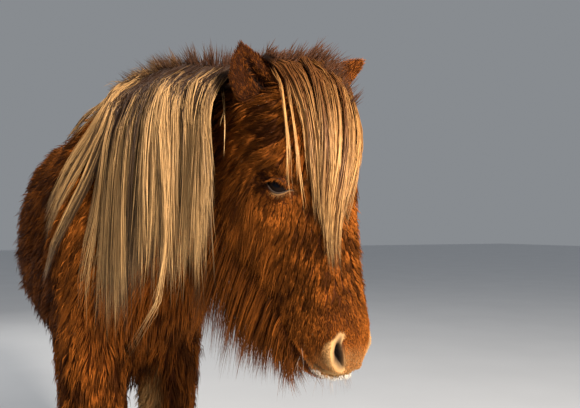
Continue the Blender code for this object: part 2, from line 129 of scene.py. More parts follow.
def earHollow(points, normals):
    # the opening of the ear: a slit down the middle of its front
    total = np.zeros(len(points))
    for name in earNames:
        root, along, across, front = (np.array(v) for v in earFrame(name))
        offset = points - root
        t = offset @ along / earSettings["length"]
        aside = (offset @ across) / (earSettings["halfWidth"] * np.sqrt(np.clip(1.02 - t, 0.02, 1)))
        near = smooth(0.075, 0.055, np.linalg.norm(offset - np.outer(offset @ along, along), axis=1))
        slit = smooth(0.55, 0.20, np.abs(aside)) * smooth(0.0, 0.22, t) * smooth(0.80, 0.50, t)
        total = np.maximum(total, slit * near * smooth(0.05, 0.5, normals @ front))
    return total


def earWeight(points):
    total = np.zeros(len(points))
    for name in earNames:
        root, along, across, front = (np.array(v) for v in earFrame(name))
        offset = points - root
        t = offset @ along / earSettings["length"]
        aside = np.hypot(offset @ across, offset @ front)
        total = np.maximum(total, smooth(0.0, 0.18, t) * smooth(0.075, 0.055, aside))
    return total


def headWeight(points):
    seam = np.array(headPoint(0.10, 0.215))
    normal = np.array((-headDown * 0.16 + headBack * 0.30).normalized())
    return smooth(0.035, -0.035, (points - seam) @ normal) * smooth(-0.55, -0.62, points[:, 1])


def neckWeight(points):
    seam = np.array((bodyMiddle, -0.382, 1.20))
    normal = np.array(Vector((0, -0.47, 0.20)).normalized())
    return smooth(-0.06, 0.06, (points - seam) @ normal) * (1 - headWeight(points))


def crestNear(points):
    # the strip along the top of the neck that the mane grows from
    offset = points[:, None, :2] - neckLine[None, :, :2]
    distance = np.linalg.norm(offset, axis=2)
    nearest = distance.argmin(1)
    above = points[:, 2] - neckLine[nearest, 2]
    return smooth(0.062, 0.040, distance.min(1)) * smooth(0.02, 0.08, above) * (1 - headWeight(points))


eyePlace = (0.205, 0.062, 0.0819)
eyeRadius = 0.022


def eyeCentre(side):
    down, back, left = eyePlace
    return headPoint(down, back, side * left)


def eyeNear(points):
    near = np.zeros(len(points))
    for side in (-1, 1):
        distance = np.linalg.norm(points - np.array(eyeCentre(side)), axis=1)
        near = np.maximum(near, smooth(0.050, 0.026, distance))
    return near


coatDepths = {
    "trunk": 0.021, "knee": 0.012, "pastern": 0.0085, "neck": 0.023,
    "jaw": 0.007, "eye": 0.003, "ear": 0.0035,
    # by the way down the face
    "face": ((-0.03, 0.06, 0.16, 0.26, 0.36, 0.43, 0.50),
             (0.016, 0.011, 0.008, 0.007, 0.0055, 0.0035, 0.0022)),
}


def coatDepth(points):
    # how far the skin lies inside the tips of the coat
    down, back = headPlace(points)[:2]
    depth = mix(coatDepths["trunk"], coatDepths["knee"], smooth(0.80, 0.45, points[:, 2]))
    depth = mix(depth, coatDepths["pastern"], smooth(0.45, 0.25, points[:, 2]))
    depth = mix(depth, coatDepths["neck"], neckWeight(points))
    face = np.interp(down, *coatDepths["face"])
    face = face + coatDepths["jaw"] * smooth(0.13, 0.22, back) * smooth(0.46, 0.36, down)
    face = mix(face, coatDepths["eye"], eyeNear(points))
    depth = mix(depth, face, headWeight(points))
    return mix(depth, coatDepths["ear"], earWeight(points))


# Nostrils, mouth and eyes

# down, back, distance from the middle and half width along each slit and groove
nostrilPath = ((0.463, 0.008, 0.042, 0.0030), (0.474, 0.012, 0.047, 0.0054), (0.488, 0.017, 0.044, 0.0078),
               (0.501, 0.023, 0.037, 0.0078), (0.512, 0.027, 0.029, 0.0045))
mouthPath = ((0.455, 0.110, 0.058, 0.0020), (0.464, 0.103, 0.056, 0.0032), (0.489, 0.090, 0.053, 0.0038),
             (0.507, 0.085, 0.046, 0.0038), (0.522, 0.073, 0.034, 0.0036), (0.532, 0.058, 0.018, 0.0032),
             (0.535, 0.052, 0.0, 0.0030))
foldPath = ((0.502, 0.064, 0.050, 0.0015), (0.515, 0.056, 0.040, 0.0015), (0.523, 0.047, 0.028, 0.0015))
creasePath = ((0.192, 0.076, 0.103, 0.0015), (0.186, 0.095, 0.104, 0.0015), (0.184, 0.120, 0.103, 0.0010))


def outsideOf(points, path):
    # distance outside a slit on both sides of the head, negative within it
    best = np.full(len(points), np.inf)
    for side in (-1, 1):
        for (d, b, l, wide), (d2, b2, l2, wide2) in zip(path, path[1:]):
            start, end = np.array(headPoint(d, b, side * l)), np.array(headPoint(d2, b2, side * l2))
            span = end - start
            t = np.clip((points - start) @ span / (span @ span), 0, 1)
            reach = np.linalg.norm(points - start - t[:, None] * span, axis=1)
            best = np.minimum(best, reach - mix(wide, wide2, t))
    return best


def pathRows(path):
    return [step[0] for step in path], [step[1] for step in path]


# the opening's half width, heights and tilt in degrees, and how thick the lids are
eyeShape = {"halfWidth": 66, "upper": 27, "lower": 31, "tilt": 27, "lid": 0.0026}


def eyeFrame(side):
    # the directions out of the eye, along its opening to the front corner, and up
    out = (headDown * 0.02 - headBack * 0.42 + headLeft * side * 0.90).normalized()
    up = (-headDown - out * (-headDown).dot(out)).normalized()
    fore = out.cross(up).normalized()
    if fore.dot(-headBack) < 0:
        fore = -fore
    tilt = math.radians(eyeShape["tilt"])
    return out, fore * math.cos(tilt) - up * math.sin(tilt), up * math.cos(tilt) + fore * math.sin(tilt)


def lidHeight(along, upper):
    # half height of the opening in degrees, for a place along it from -1, the back corner, to 1
    along = np.clip(along, -1, 1)
    if upper:
        return eyeShape["upper"] * (1 - np.abs(along) ** 2.3) * (1 - 0.10 * along)
    return eyeShape["lower"] * (1 - np.abs(along) ** 2.1) * (1 + 0.22 * along)


def eyeOpening(points, side):
    # distance from the eye's middle, its angle off the outward direction, and how far outside the lids
    centre = np.array(eyeCentre(side))
    out, fore, up = (np.array(v) for v in eyeFrame(side))
    offset = points - centre
    radius = np.linalg.norm(offset, axis=1)
    toward = unit(offset)
    away = np.degrees(np.arccos(np.clip(toward @ out, -1, 1)))
    aside = np.degrees(np.arctan2(toward @ fore, np.maximum(toward @ out, 0.05)))
    above = np.degrees(np.arctan2(toward @ up, np.maximum(toward @ out, 0.05)))
    share = aside / eyeShape["halfWidth"]
    edge = np.where(above > 0, lidHeight(share, True), lidHeight(share, False))
    fromCorner = np.hypot(above, aside - np.sign(aside) * eyeShape["halfWidth"])
    outside = np.where(np.abs(share) < 1, np.abs(above) - edge, fromCorner)
    return radius, away, outside, toward


# Colours that skin and coat share

paleAmounts = {"nostril": 0.92, "lip": 0.80, "nose": 0.32, "mouth": 0.55, "lid": 0.26, "foreleg": 0.7}


def paleness(points):
    # the mealy muzzle: the nostrils' rims and the lips; the lower lids, and the inner sides of the forelegs
    down, back = headPlace(points)[:2]
    nostril, mouth = outsideOf(points, nostrilPath), outsideOf(points, mouthPath)
    behind = smooth(-0.002, 0.006, back - np.interp(down, *pathRows(nostrilPath)))
    behind = mix(behind, 0.45, smooth(0.472, 0.463, down))
    pale = paleAmounts["nostril"] * smooth(mix(-0.003, 0.023, behind), mix(-0.004, 0.008, behind), nostril)
    pale = np.maximum(pale, paleAmounts["lip"] * smooth(0.508, 0.526, down) * smooth(0.10, 0.07, back))
    pale = np.maximum(pale, paleAmounts["nose"] * smooth(0.470, 0.505, down) * smooth(0.075, 0.045, back))
    pale = np.maximum(pale, paleAmounts["mouth"] * smooth(0.016, 0.004, mouth) * smooth(0.485, 0.505, down))
    lowerLip = back - np.interp(down, *pathRows(mouthPath))
    pale = pale * smooth(0.003, -0.003, lowerLip)       # which stays brown
    for side in (-1, 1):
        radius, _, outside, toward = eyeOpening(points, side)
        low = smooth(0.25, 0.55, toward @ np.array(headDown))
        lid = smooth(0.030, 0.026, radius) * low * smooth(17, 8, outside)
        pale = np.maximum(pale, paleAmounts["lid"] * lid)
    inner = np.exp(-((points[:, 0] - 0.013) / 0.015) ** 2) * (points[:, 1] < -0.1)
    inner = inner * smooth(0.70, 0.64, points[:, 2]) * smooth(0.32, 0.42, points[:, 2])
    return np.maximum(pale * smooth(0.3, 0.6, headWeight(points)), paleAmounts["foreleg"] * inner)


def darkness(points):
    # bare black skin inside the nostrils and the mouth, and round the eyes
    down, back = headPlace(points)[:2]
    # the nostril's back wall turns pale slowly
    soft = smooth(-0.002, 0.004, back - np.interp(down, *pathRows(nostrilPath)))
    dark = smooth(mix(0.0014, 0.0075, soft), mix(-0.0012, -0.0040, soft), outsideOf(points, nostrilPath))
    dark = np.maximum(dark, smooth(0.0018, -0.0006, outsideOf(points, mouthPath)))
    for side in (-1, 1):
        radius, _, outside, _ = eyeOpening(points, side)
        dark = np.maximum(dark, smooth(6.5, 2, outside) * smooth(0.034, 0.028, radius))
    return dark


# how much lighter or darker each part is than the coat's middle shade; the flank, elbow, forearm, jaw,
# cheek, forehead, crease, brow and fold terms are painted shade, the breast, nose and cheekbone terms
# painted light, the ear term both
toneSettings = {
    "middle": 0.47,
    "ripples": ((0.11, 9.0, 11), (0.10, 30.0, 12), (0.09, 65.0, 13)),       # amount, scale, seed
    "neck": -0.09, "shin": -0.08, "flankShade": -0.95, "crest": -0.5, "elbow": -0.28, "forearmShade": -0.30,
    "breast": 0.12, "ear": -0.20, "nose": 0.04, "litCheekbone": 0.18, "muzzle": -0.12, "foreheadShade": -0.20,
    "jaw": -0.16, "cheek": -0.30, "crease": -0.80, "browShadow": -0.26, "fold": -0.35,
}


def tone(points):
    # broad light and dark of the coat, with painted shade and painted light laid over the body and face
    down, back, left = headPlace(points)
    x, y, z = points.T
    amount = toneSettings
    wide = amount["middle"]
    for share, scale, seed in amount["ripples"]:
        wide = wide + share * ripple(points, scale, seed)
    wide = wide + amount["neck"] * neckWeight(points) + amount["shin"] * smooth(0.55, 0.25, z)
    # painted shade over the trunk behind the shoulders, which lies away from the light
    flankShade = smooth(-0.40, -0.04, y) * smooth(0.55, 0.70, z) * smooth(1.30, 1.10, z)
    wide = wide + amount["flankShade"] * flankShade + amount["crest"] * crestNear(points)
    fore = smooth(0.1, 0.0, y)
    # painted shade behind the forelegs round the elbows, and on the horse's right side low at the front
    wide = wide + amount["elbow"] * smooth(-0.38, -0.28, y) * fore * smooth(0.98, 0.85, z)
    wide = wide + amount["forearmShade"] * smooth(-0.130, -0.170, x) * fore * smooth(0.90, 0.75, z)
    # painted light on the front of the breast
    wide = wide + amount["breast"] * smooth(-0.36, -0.45, y) * smooth(1.02, 0.92, z)
    # painted shade on the right ear and painted light on the left ear
    wide = wide + amount["ear"] * earWeight(points) * mix(-1.2, 1.3, smooth(0.02, -0.02, left))
    # painted light on the front of the nose and on the cheekbones
    face = amount["nose"] * smooth(0.06, 0.02, back) * smooth(0.20, 0.32, down)
    litCheekbone = smooth(0.20, 0.24, down) * smooth(0.34, 0.28, down) * smooth(0.04, 0.07, back)
    # painted shade on the back of the cheek
    cheek = smooth(0.125, 0.165, back) * smooth(0.26, 0.32, down) * smooth(0.48, 0.43, down)
    face = face + amount["litCheekbone"] * litCheekbone + amount["cheek"] * cheek
    face = face + amount["muzzle"] * smooth(0.32, 0.36, down) * smooth(0.46, 0.41, down)
    # painted shade on the forehead under the forelock and along the jaw
    face = face + amount["foreheadShade"] * smooth(0.17, 0.10, down) + amount["jaw"] * smooth(0.19, 0.25, back)
    # painted shade in the crease behind the eye
    face = face + amount["crease"] * smooth(0.015, 0.003, outsideOf(points, creasePath))
    # painted shadow of the brow above each eye
    for side in (-1, 1):
        radius, _, outside, toward = eyeOpening(points, side)
        browShadow = smooth(-0.1, 0.35, toward @ np.array(-headDown)) * smooth(0.050, 0.034, radius)
        face = face + amount["browShadow"] * browShadow * smooth(6, 16, outside)
    # painted shade in the fold by the lips
    face = face + amount["fold"] * smooth(0.007, 0.001, outsideOf(points, foldPath))
    return np.clip(wide + face * headWeight(points), 0, 1)


# The skin: one closed surface under the coat

def addObject(name, mesh):
    item = bpy.data.objects.new(name, mesh)
    bpy.context.scene.collection.objects.link(item)
    return item


def fromBmesh(name, bm):
    bm.normal_update()
    bmesh.ops.recalc_face_normals(bm, faces=bm.faces)
    mesh = bpy.data.meshes.new(name)
    bm.to_mesh(mesh)
    bm.free()
    mesh.shade_smooth()
    return addObject(name, mesh)


def settle(item):
    # applies the modifiers
    graph = bpy.context.evaluated_depsgraph_get()
    mesh = bpy.data.meshes.new_from_object(item.evaluated_get(graph))
    old = item.data
    item.modifiers.clear()
    item.data = mesh
    bpy.data.meshes.remove(old)
    return item


def remesh(item, voxel, rounds, factor=0.5):
    step = item.modifiers.new("one surface", "REMESH")
    step.mode = "VOXEL"
    step.voxel_size = voxel
    soften = item.modifiers.new("soften", "SMOOTH")
    soften.factor = factor
    soften.iterations = rounds
    return settle(item)


def addNode(bm, name, swell):
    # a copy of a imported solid, merged and swollen a little so that neighbours overlap
    piece = bmesh.new()
    piece.from_mesh(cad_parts[name].data)
    bmesh.ops.remove_doubles(piece, verts=piece.verts, dist=1e-5)
    piece.normal_update()
    for vert in piece.verts:
        vert.co += vert.normal * swell
    mesh = bpy.data.meshes.new(name)
    piece.to_mesh(mesh)
    piece.free()
    bm.from_mesh(mesh)
    bpy.data.meshes.remove(mesh)


def addBall(bm, centre, radius):
    made = bmesh.ops.create_uvsphere(bm, u_segments=32, v_segments=20, radius=radius)
    bmesh.ops.translate(bm, verts=made["verts"], vec=centre)


def verticesOf(mesh):
    points = np.empty(len(mesh.vertices) * 3)
    mesh.vertices.foreach_get("co", points)
    return points.reshape(-1, 3)


def normalsOf(mesh):
    normals = np.empty(len(mesh.vertices) * 3)
    mesh.vertices.foreach_get("normal", normals)
    return normals.reshape(-1, 3)


def moveVertices(mesh, points):
    mesh.vertices.foreach_set("co", np.ascontiguousarray(points).ravel())
    mesh.update()


# finer: how little the head and the feet are thinned out, beside the body
skinSettings = {"bodyVoxel": 0.012, "fineVoxel": 0.0052, "swell": 0.0008, "triangles": 125000,
                "finer": 0.30}


def makeSkinForm():
    body = bmesh.new()
    for name in fleshNodes:
        addNode(body, name, skinSettings["swell"])
    bodyForm = remesh(fromBmesh("bodyForm", body), skinSettings["bodyVoxel"], 12, 0.6)
    bodyForm.modifiers.new("finer", "SUBSURF").levels = 1
    settle(bodyForm)
    head = bmesh.new()
    for name in ("head", *earNames):
        addNode(head, name, skinSettings["swell"])
    for side in (-1, 1):
        addBall(head, eyeCentre(side), eyeRadius + skinSettings["swell"])
    headForm = remesh(fromBmesh("headForm", head), skinSettings["fineVoxel"], 5)
    both = bmesh.new()
    both.from_mesh(bodyForm.data)
    both.from_mesh(headForm.data)
    skin = remesh(fromBmesh("skin", both), skinSettings["fineVoxel"], 4)
    for item in (bodyForm, headForm):
        bpy.data.objects.remove(item)
    points = verticesOf(skin.data)
    fine = np.maximum(headWeight(points), smooth(0.30, 0.20, points[:, 2]) * 0.5)
    group = skin.vertex_groups.new(name="coarse")
    levels = np.round(mix(1.0, skinSettings["finer"], fine), 1)
    for level in np.unique(levels):
        group.add(np.nonzero(levels == level)[0].tolist(), float(level), "REPLACE")
    fewer = skin.modifiers.new("fewer", "DECIMATE")
    fewer.ratio = skinSettings["triangles"] / (2 * len(skin.data.polygons))
    fewer.vertex_group = "coarse"
    fewer.use_collapse_triangulate = True
    settle(skin)
    return skin


def refine(mesh, wanted):
    # splits the edges whose both ends are wanted
    bm = bmesh.new()
    bm.from_mesh(mesh)
    keep = wanted(verticesOf(mesh))
    edges = [e for e in bm.edges if keep[e.verts[0].index] and keep[e.verts[1].index]]
    bmesh.ops.subdivide_edges(bm, edges=edges, cuts=1, use_grid_fill=True)
    bmesh.ops.triangulate(bm, faces=[f for f in bm.faces if len(f.verts) > 3])
    bm.to_mesh(mesh)
    bm.free()


def faceDetail(points):
    muzzle = (headPlace(points)[0] > 0.435) & (headWeight(points) > 0.5)
    eyes = np.zeros(len(points), bool)
    for side in (-1, 1):
        eyes |= np.linalg.norm(points - np.array(eyeCentre(side)), axis=1) < 0.040
    return muzzle | eyes | (earWeight(points) > 0.3)


def finestDetail(points):
    close = (outsideOf(points, nostrilPath) < 0.008) | (outsideOf(points, mouthPath) < 0.006)
    for side in (-1, 1):
        radius, away = eyeOpening(points, side)[:2]
        close |= (radius < 0.030) & (away < 95)
    return close


# how far the inner and outer edges of each ear are drawn in at its tip, and how much longer it gets
earTips = {"ear_right": (0.50, 0.15, 0.003), "ear_left": (0.40, 0.40, 0.013)}


def slimmerTips(points):
    # the way to draw the skin in so that each ear ends in a point
    total = np.zeros_like(points)
    for name, (inner, outer, more) in earTips.items():
        root, along, across, front = (np.array(v) for v in earFrame(name))
        offset = points - root
        aside = offset @ across
        t = offset @ along / earSettings["length"]
        near = smooth(0.075, 0.055, np.hypot(aside, offset @ front))
        drawn = aside * np.where(aside > 0, inner, outer) * smooth(0.45, 1.0, t) * near
        longer = more * smooth(0.35, 1.0, t) * near
        total += drawn[:, None] * across[None] - longer[:, None] * along[None]
    return total


# how far each feature of the face stands out, or is sunk in
faceShape = {"wing": (0.0002, 0.0050), "nostril": -0.0190, "lip": 0.0022, "mouth": -0.0100, "fold": -0.0030,
             "crease": -0.0035, "socket": -0.004, "ear": -0.017}


def sculptFace(mesh):
    points, normals = verticesOf(mesh), normalsOf(mesh)
    nostril, mouth = outsideOf(points, nostrilPath), outsideOf(points, mouthPath)
    wing = mix(*faceShape["wing"], smooth(0.014, 0.034, headPlace(points)[1]))
    lift = wing * np.exp(-((nostril - 0.0062) / 0.0055) ** 2)
    lift += faceShape["nostril"] * smooth(0.0016, -0.0060, nostril)
    lift += faceShape["lip"] * np.exp(-((mouth - 0.0072) / 0.0046) ** 2)
    lift += faceShape["mouth"] * smooth(0.0024, -0.0026, mouth)
    lift += faceShape["fold"] * smooth(0.0065, -0.001, outsideOf(points, foldPath))
    lift += faceShape["crease"] * smooth(0.0070, -0.001, outsideOf(points, creasePath))
    points = points + normals * lift[:, None]
    for side in (-1, 1):
        radius, away, outside, toward = eyeOpening(points, side)
        near = smooth(100, 70, away) * smooth(0.040, 0.030, radius)
        lid = eyeRadius + eyeShape["lid"] * (0.55 + 0.45 * smooth(0, 14, outside))
        inside = smooth(2.0, -3.0, outside)
        target = mix(np.maximum(radius, lid), eyeRadius + faceShape["socket"], inside)
        points = points + toward * ((target - radius) * near)[:, None]
    points = points + normals * (faceShape["ear"] * earHollow(points, normals))[:, None]
    points = points - slimmerTips(points)
    moveVertices(mesh, points)


def setColours(mesh, values, name="hair"):
    layer = mesh.color_attributes.new(name, "FLOAT_COLOR", "POINT")
    layer.data.foreach_set("color", np.ascontiguousarray(values, dtype=np.float32).ravel())


def makeSkin():
    skin = makeSkinForm()
    mesh = skin.data
    points, normals = verticesOf(mesh), normalsOf(mesh)
    inset = coatDepth(points)
    sole = smooth(0.076, 0.10, points[:, 2])      # the ends of the legs stay on the hooves
    push = normals * inset[:, None]
    push[:, 2] *= sole
    moveVertices(mesh, points - push)
    soften = skin.modifiers.new("soften", "SMOOTH")
    soften.factor = 0.5
    soften.iterations = 2
    settle(skin)
    refine(skin.data, faceDetail)
    refine(skin.data, finestDetail)
    # colours, and how far from the openings, are taken before those are sunk in
    points = verticesOf(skin.data)
    # the fourth value marks the ear's opening, painted dark as shade
    setColours(skin.data, np.stack([darkness(points), tone(points), paleness(points),
                                    earHollow(points, normalsOf(skin.data))], 1))
    openings = np.minimum(outsideOf(points, nostrilPath) - 0.0002, outsideOf(points, mouthPath))
    sculptFace(skin.data)
    skin.data.shade_smooth()
    return skin, openings


skin, openings = makeSkin()
skinPoints = verticesOf(skin.data)
print("skin:", len(skin.data.polygons), "faces")


def treeOf(mesh):
    bm = bmesh.new()
    bm.from_mesh(mesh)
    tree = BVHTree.FromBMesh(bm)
    bm.free()
    return tree


skinTree = treeOf(skin.data)


# Tufts and strands: closed three-sided spikes made together from arrays

def strandMesh(name, paths, radii, hints, colours, roots, patch):
    # paths: strands x points x 3, whose first and last points are the two ends
    # hints: a direction away from the skin; colours: three values for each strand
    # patch: the size of a strand on the map
    count, steps = paths.shape[:2]
    hoops, each = steps - 2, (steps - 2) * 3 + 2
    ahead = unit(np.gradient(paths, axis=1))
    side = unit(np.cross(ahead, hints[:, None, :]))
    lift = np.cross(ahead, side)
    turns = np.radians((270, 30, 150))
    hoop = (side[:, 1:-1, None, :] * np.cos(turns)[None, None, :, None]
            + lift[:, 1:-1, None, :] * np.sin(turns)[None, None, :, None])
    body = paths[:, 1:-1, None, :] + hoop * radii[:, 1:-1, None, None]
    points = np.concatenate([paths[:, :1], body.reshape(count, hoops * 3, 3), paths[:, -1:]], 1)
    faces = [(0, 1 + (k + 1) % 3, 1 + k) for k in range(3)]
    for number in range(hoops - 1):
        for k in range(3):
            a, b = 1 + number * 3 + k, 1 + number * 3 + (k + 1) % 3
            faces += [(a, b, b + 3), (a, b + 3, a + 3)]
    last = 1 + (hoops - 1) * 3
    faces += [(last + k, last + (k + 1) % 3, each - 1) for k in range(3)]
    faces = np.array(faces, dtype=np.int32)
    corners = (faces[None] + (np.arange(count, dtype=np.int32) * each)[:, None, None]).reshape(-1)
    mesh = bpy.data.meshes.new(name)
    mesh.vertices.add(count * each)
    mesh.vertices.foreach_set("co", points.ravel())
    mesh.loops.add(len(corners))
    mesh.loops.foreach_set("vertex_index", corners)
    mesh.polygons.add(len(corners) // 3)
    mesh.polygons.foreach_set("loop_start", np.arange(0, len(corners), 3, dtype=np.int32))
    order = np.concatenate([[0], np.repeat(np.arange(1, steps - 1), 3), [steps - 1]])
    along = order / (steps - 1)
    spread = np.concatenate([[0], np.tile((-0.5, 0.5, 0.0), hoops), [0]])
    shades = np.empty((count, each, 4), np.float32)
    shades[:, :, 0] = along[None]
    shades[:, :, 1:] = colours[:, None, :]
    setColours(mesh, shades)
    places = np.empty((count, each, 2), np.float32)
    places[:, :, 0] = roots[:, None, 0] + spread[None] * patch[0] * (1 - 0.5 * along)[None]
    places[:, :, 1] = roots[:, None, 1] + (along - 0.5)[None] * patch[1]
    layer = mesh.uv_layers.new(name="OFBake")
    layer.data.foreach_set("uv", np.clip(places, 0.001, 0.999).reshape(-1, 2)[corners].ravel())
    mesh.update(calc_edges=True)
    mesh.shade_smooth()
    return addObject(name, mesh)


def skinTriangles():
    mesh = skin.data
    mesh.calc_loop_triangles()
    corners = np.empty(len(mesh.loop_triangles) * 3, np.int32)
    mesh.loop_triangles.foreach_get("vertices", corners)
    corners = corners.reshape(-1, 3)
    normals = normalsOf(mesh)
    a, b, c = (skinPoints[corners[:, k]] for k in range(3))
    return corners, (a + b + c) / 3, np.linalg.norm(np.cross(b - a, c - a), axis=1) / 2, normals


triangles, middles, areas, skinNormals = skinTriangles()
bareRim = 0.0024        # how far from an opening the hair begins
bareTriangles = openings[triangles].min(1) < bareRim
coatPatch, lockPatch = (0.003, 0.003), (0.003, 0.012)


def scatter(where, count, weight, seed):
    # root places spread evenly over the chosen triangles
    rng = np.random.default_rng(seed)
    chosen = np.nonzero(where)[0]
    share = areas[chosen] * weight[chosen]
    edges = np.cumsum(share)
    ticks = (np.arange(count) + rng.uniform(0, 1, count)) / count * edges[-1]
    face = chosen[np.minimum(np.searchsorted(edges, ticks), len(chosen) - 1)]
    u, v = rng.uniform(0, 1, (2, count))
    over = u + v > 1
    u[over], v[over] = 1 - u[over], 1 - v[over]
    parts = (1 - u - v, u, v)

    def between(values):
        return sum(values[triangles[face][:, k]] * part[:, None] for k, part in enumerate(parts))

    return between(skinPoints), unit(between(skinNormals))


def turned(flow, wanted, weight):
    # a flow of hair that turns to another direction where the weight is 1
    return mix(flow, np.asarray(wanted), weight[:, None])


def lieOfCoat(points, normals):
    # the way the hair points, along the skin
    x, y, z = points.T
    side = np.tanh((x - bodyMiddle) / 0.05)
    level = np.ones(len(points))
    flow = np.stack([0.25 * side * smooth(0.4, 0.9, normals[:, 2]), 0.80 * level, -0.70 * level], 1)
    breast = np.stack([-0.12 * side, 0.30 * level, -level], 1)
    flow = turned(flow, breast, smooth(-0.15, -0.42, y))
    flow = turned(flow, (0, 0.1, -1), smooth(0.62, 0.86, y))        # the rump
    belly = np.stack([-0.3 * side, level, -0.2 * level], 1)
    flow = turned(flow, belly, smooth(-0.3, -0.8, normals[:, 2]) * smooth(0.60, 0.66, z))
    flow = turned(flow, (0, 0.22, -1), smooth(0.82, 0.62, z))       # the legs
    neckAlong = np.array((neckRoot - neckEnd).normalized())
    flow = turned(flow, neckAlong * 0.75 + np.array((0, 0.1, -0.75)), neckWeight(points))
    flow = turned(flow, lieOnHead(points), headWeight(points))
    for name in earNames:
        sameSide = np.sign(headPlace(points)[2]) == np.sign(earSettings[name][0][2])
        flow = turned(flow, earFrame(name)[1], earWeight(points) * sameSide)
    turn = 0.16 * ripple(points, 12.0, 3) + mix(0.12, 0.06, headWeight(points)) * ripple(points, 40.0, 4)
    flow = unit(flow - normals * np.sum(flow * normals, 1, keepdims=True))
    across = np.cross(normals, flow)
    return flow * np.cos(turn)[:, None] + across * np.sin(turn)[:, None]


nostrilMiddle = (0.487, 0.019, 0.043)


def lieOnHead(points):
    # straight down the bridge of the nose, down and back over its sides and the cheeks
    down, back, left = headPlace(points)
    toLips, toNape = np.array(headDown), np.array(headBack)
    front = smooth(0.050, 0.015, np.abs(left)) * smooth(0.12, 0.06, back)
    cheek = smooth(0.05, 0.16, back)
    flow = (toLips[None] * mix(0.90, 0.72, cheek)[:, None]
            + toNape[None] * (mix(0.45, 0.72, cheek) * (1 - 0.85 * front))[:, None])
    temple = smooth(0.20, 0.14, down) * smooth(0.025, 0.065, back) * 0.9
    flow = turned(flow, toLips * 0.30 + toNape * 0.95, temple)
    flow = turned(flow, toNape * 0.8, smooth(0.03, -0.02, down))
    for side in (-1, 1):
        fromEye = points - np.array(eyeCentre(side))
        ring = smooth(0.050, 0.027, np.linalg.norm(fromEye, axis=1)) * 0.8
        flow = turned(flow, unit(fromEye) + toNape * 0.35 + toLips * 0.2, ring)
        fromNostril = points - np.array(headPoint(*nostrilMiddle[:2], side * nostrilMiddle[2]))
        wing = smooth(0.034, 0.010, np.linalg.norm(fromNostril, axis=1)) * 0.85
        flow = turned(flow, unit(fromNostril) + toLips * 0.3, wing)
    return flow


def unwrap(points, kind):
    # a cylinder laid round the part, cut open along its far side, and made to fill the square
    if kind == "head":
        down, back, left = headPlace(points)
        turn, along = np.arctan2(left, 0.13 - back), down
    elif kind == "leg":
        x = points[:, 0] - bodyMiddle
        middle = np.where(points[:, 1] < midLength, foreLegY, hindLegY)
        turn = np.arctan2(np.abs(x) - 0.10, points[:, 1] - middle) / 2 + np.sign(x) * math.pi / 2
        along = points[:, 2]
    elif kind == "neck":
        away = points - np.array(neckBend)
        turn, along = np.arctan2(away[:, 0], away[:, 2]), points[:, 1]
    else:
        turn, along = np.arctan2(points[:, 0] - bodyMiddle, points[:, 2] - 1.0), points[:, 1]
    flat = np.stack([turn, along], 1)
    low, high = flat.min(0), flat.max(0)
    return 0.005 + 0.99 * (flat - low) / (high - low)


def clump(paths, group, pull, stretch, seed):
    # draws the hairs sideways onto the lines of a sparser set of hairs, each line longer than wide
    rng = np.random.default_rng(seed)
    count, steps = paths.shape[:2]
    ahead = unit(paths[:, -1] - paths[:, 0])
    lie = unit(ahead.mean(0)[None])
    spots = paths[:, 0] - lie * (paths[:, 0] @ lie[0])[:, None] * (1 - 1 / stretch)
    leaders = rng.permutation(count)[: max(1, int(count / group))]
    tree = KDTree(len(leaders))
    for number, leader in enumerate(leaders):
        tree.insert(spots[leader], number)
    tree.balance()
    nearest = np.array([leaders[tree.find(spot)[1]] for spot in spots])
    share = (np.arange(steps) / (steps - 1)) ** 1.2
    strength = (pull * rng.uniform(0.5, 1.1, count))[:, None] * share[None]
    shift = paths[nearest] - paths
    shift = shift - ahead[:, None] * (1 - 1 / stretch) * np.sum(shift * ahead[:, None], 2, keepdims=True)
    return paths + shift * np.clip(strength, 0, 0.92)[:, :, None], nearest


def everywhere(points):
    return np.ones(len(points))


# what a piece of the coat does where its own settings say nothing else: rise in coat depths, wild is the
# share of tufts that stand out, group the hairs of one clump, even the spread of shades, dim a darker tone
# of painted shade
coatDefaults = {"weight": everywhere, "thick": everywhere, "steps": 3, "rise": 1.0, "wild": 0.06,
                "stray": 0.10, "droop": 0.0, "stretch": 2.2, "even": 1.0, "dim": 0.0}


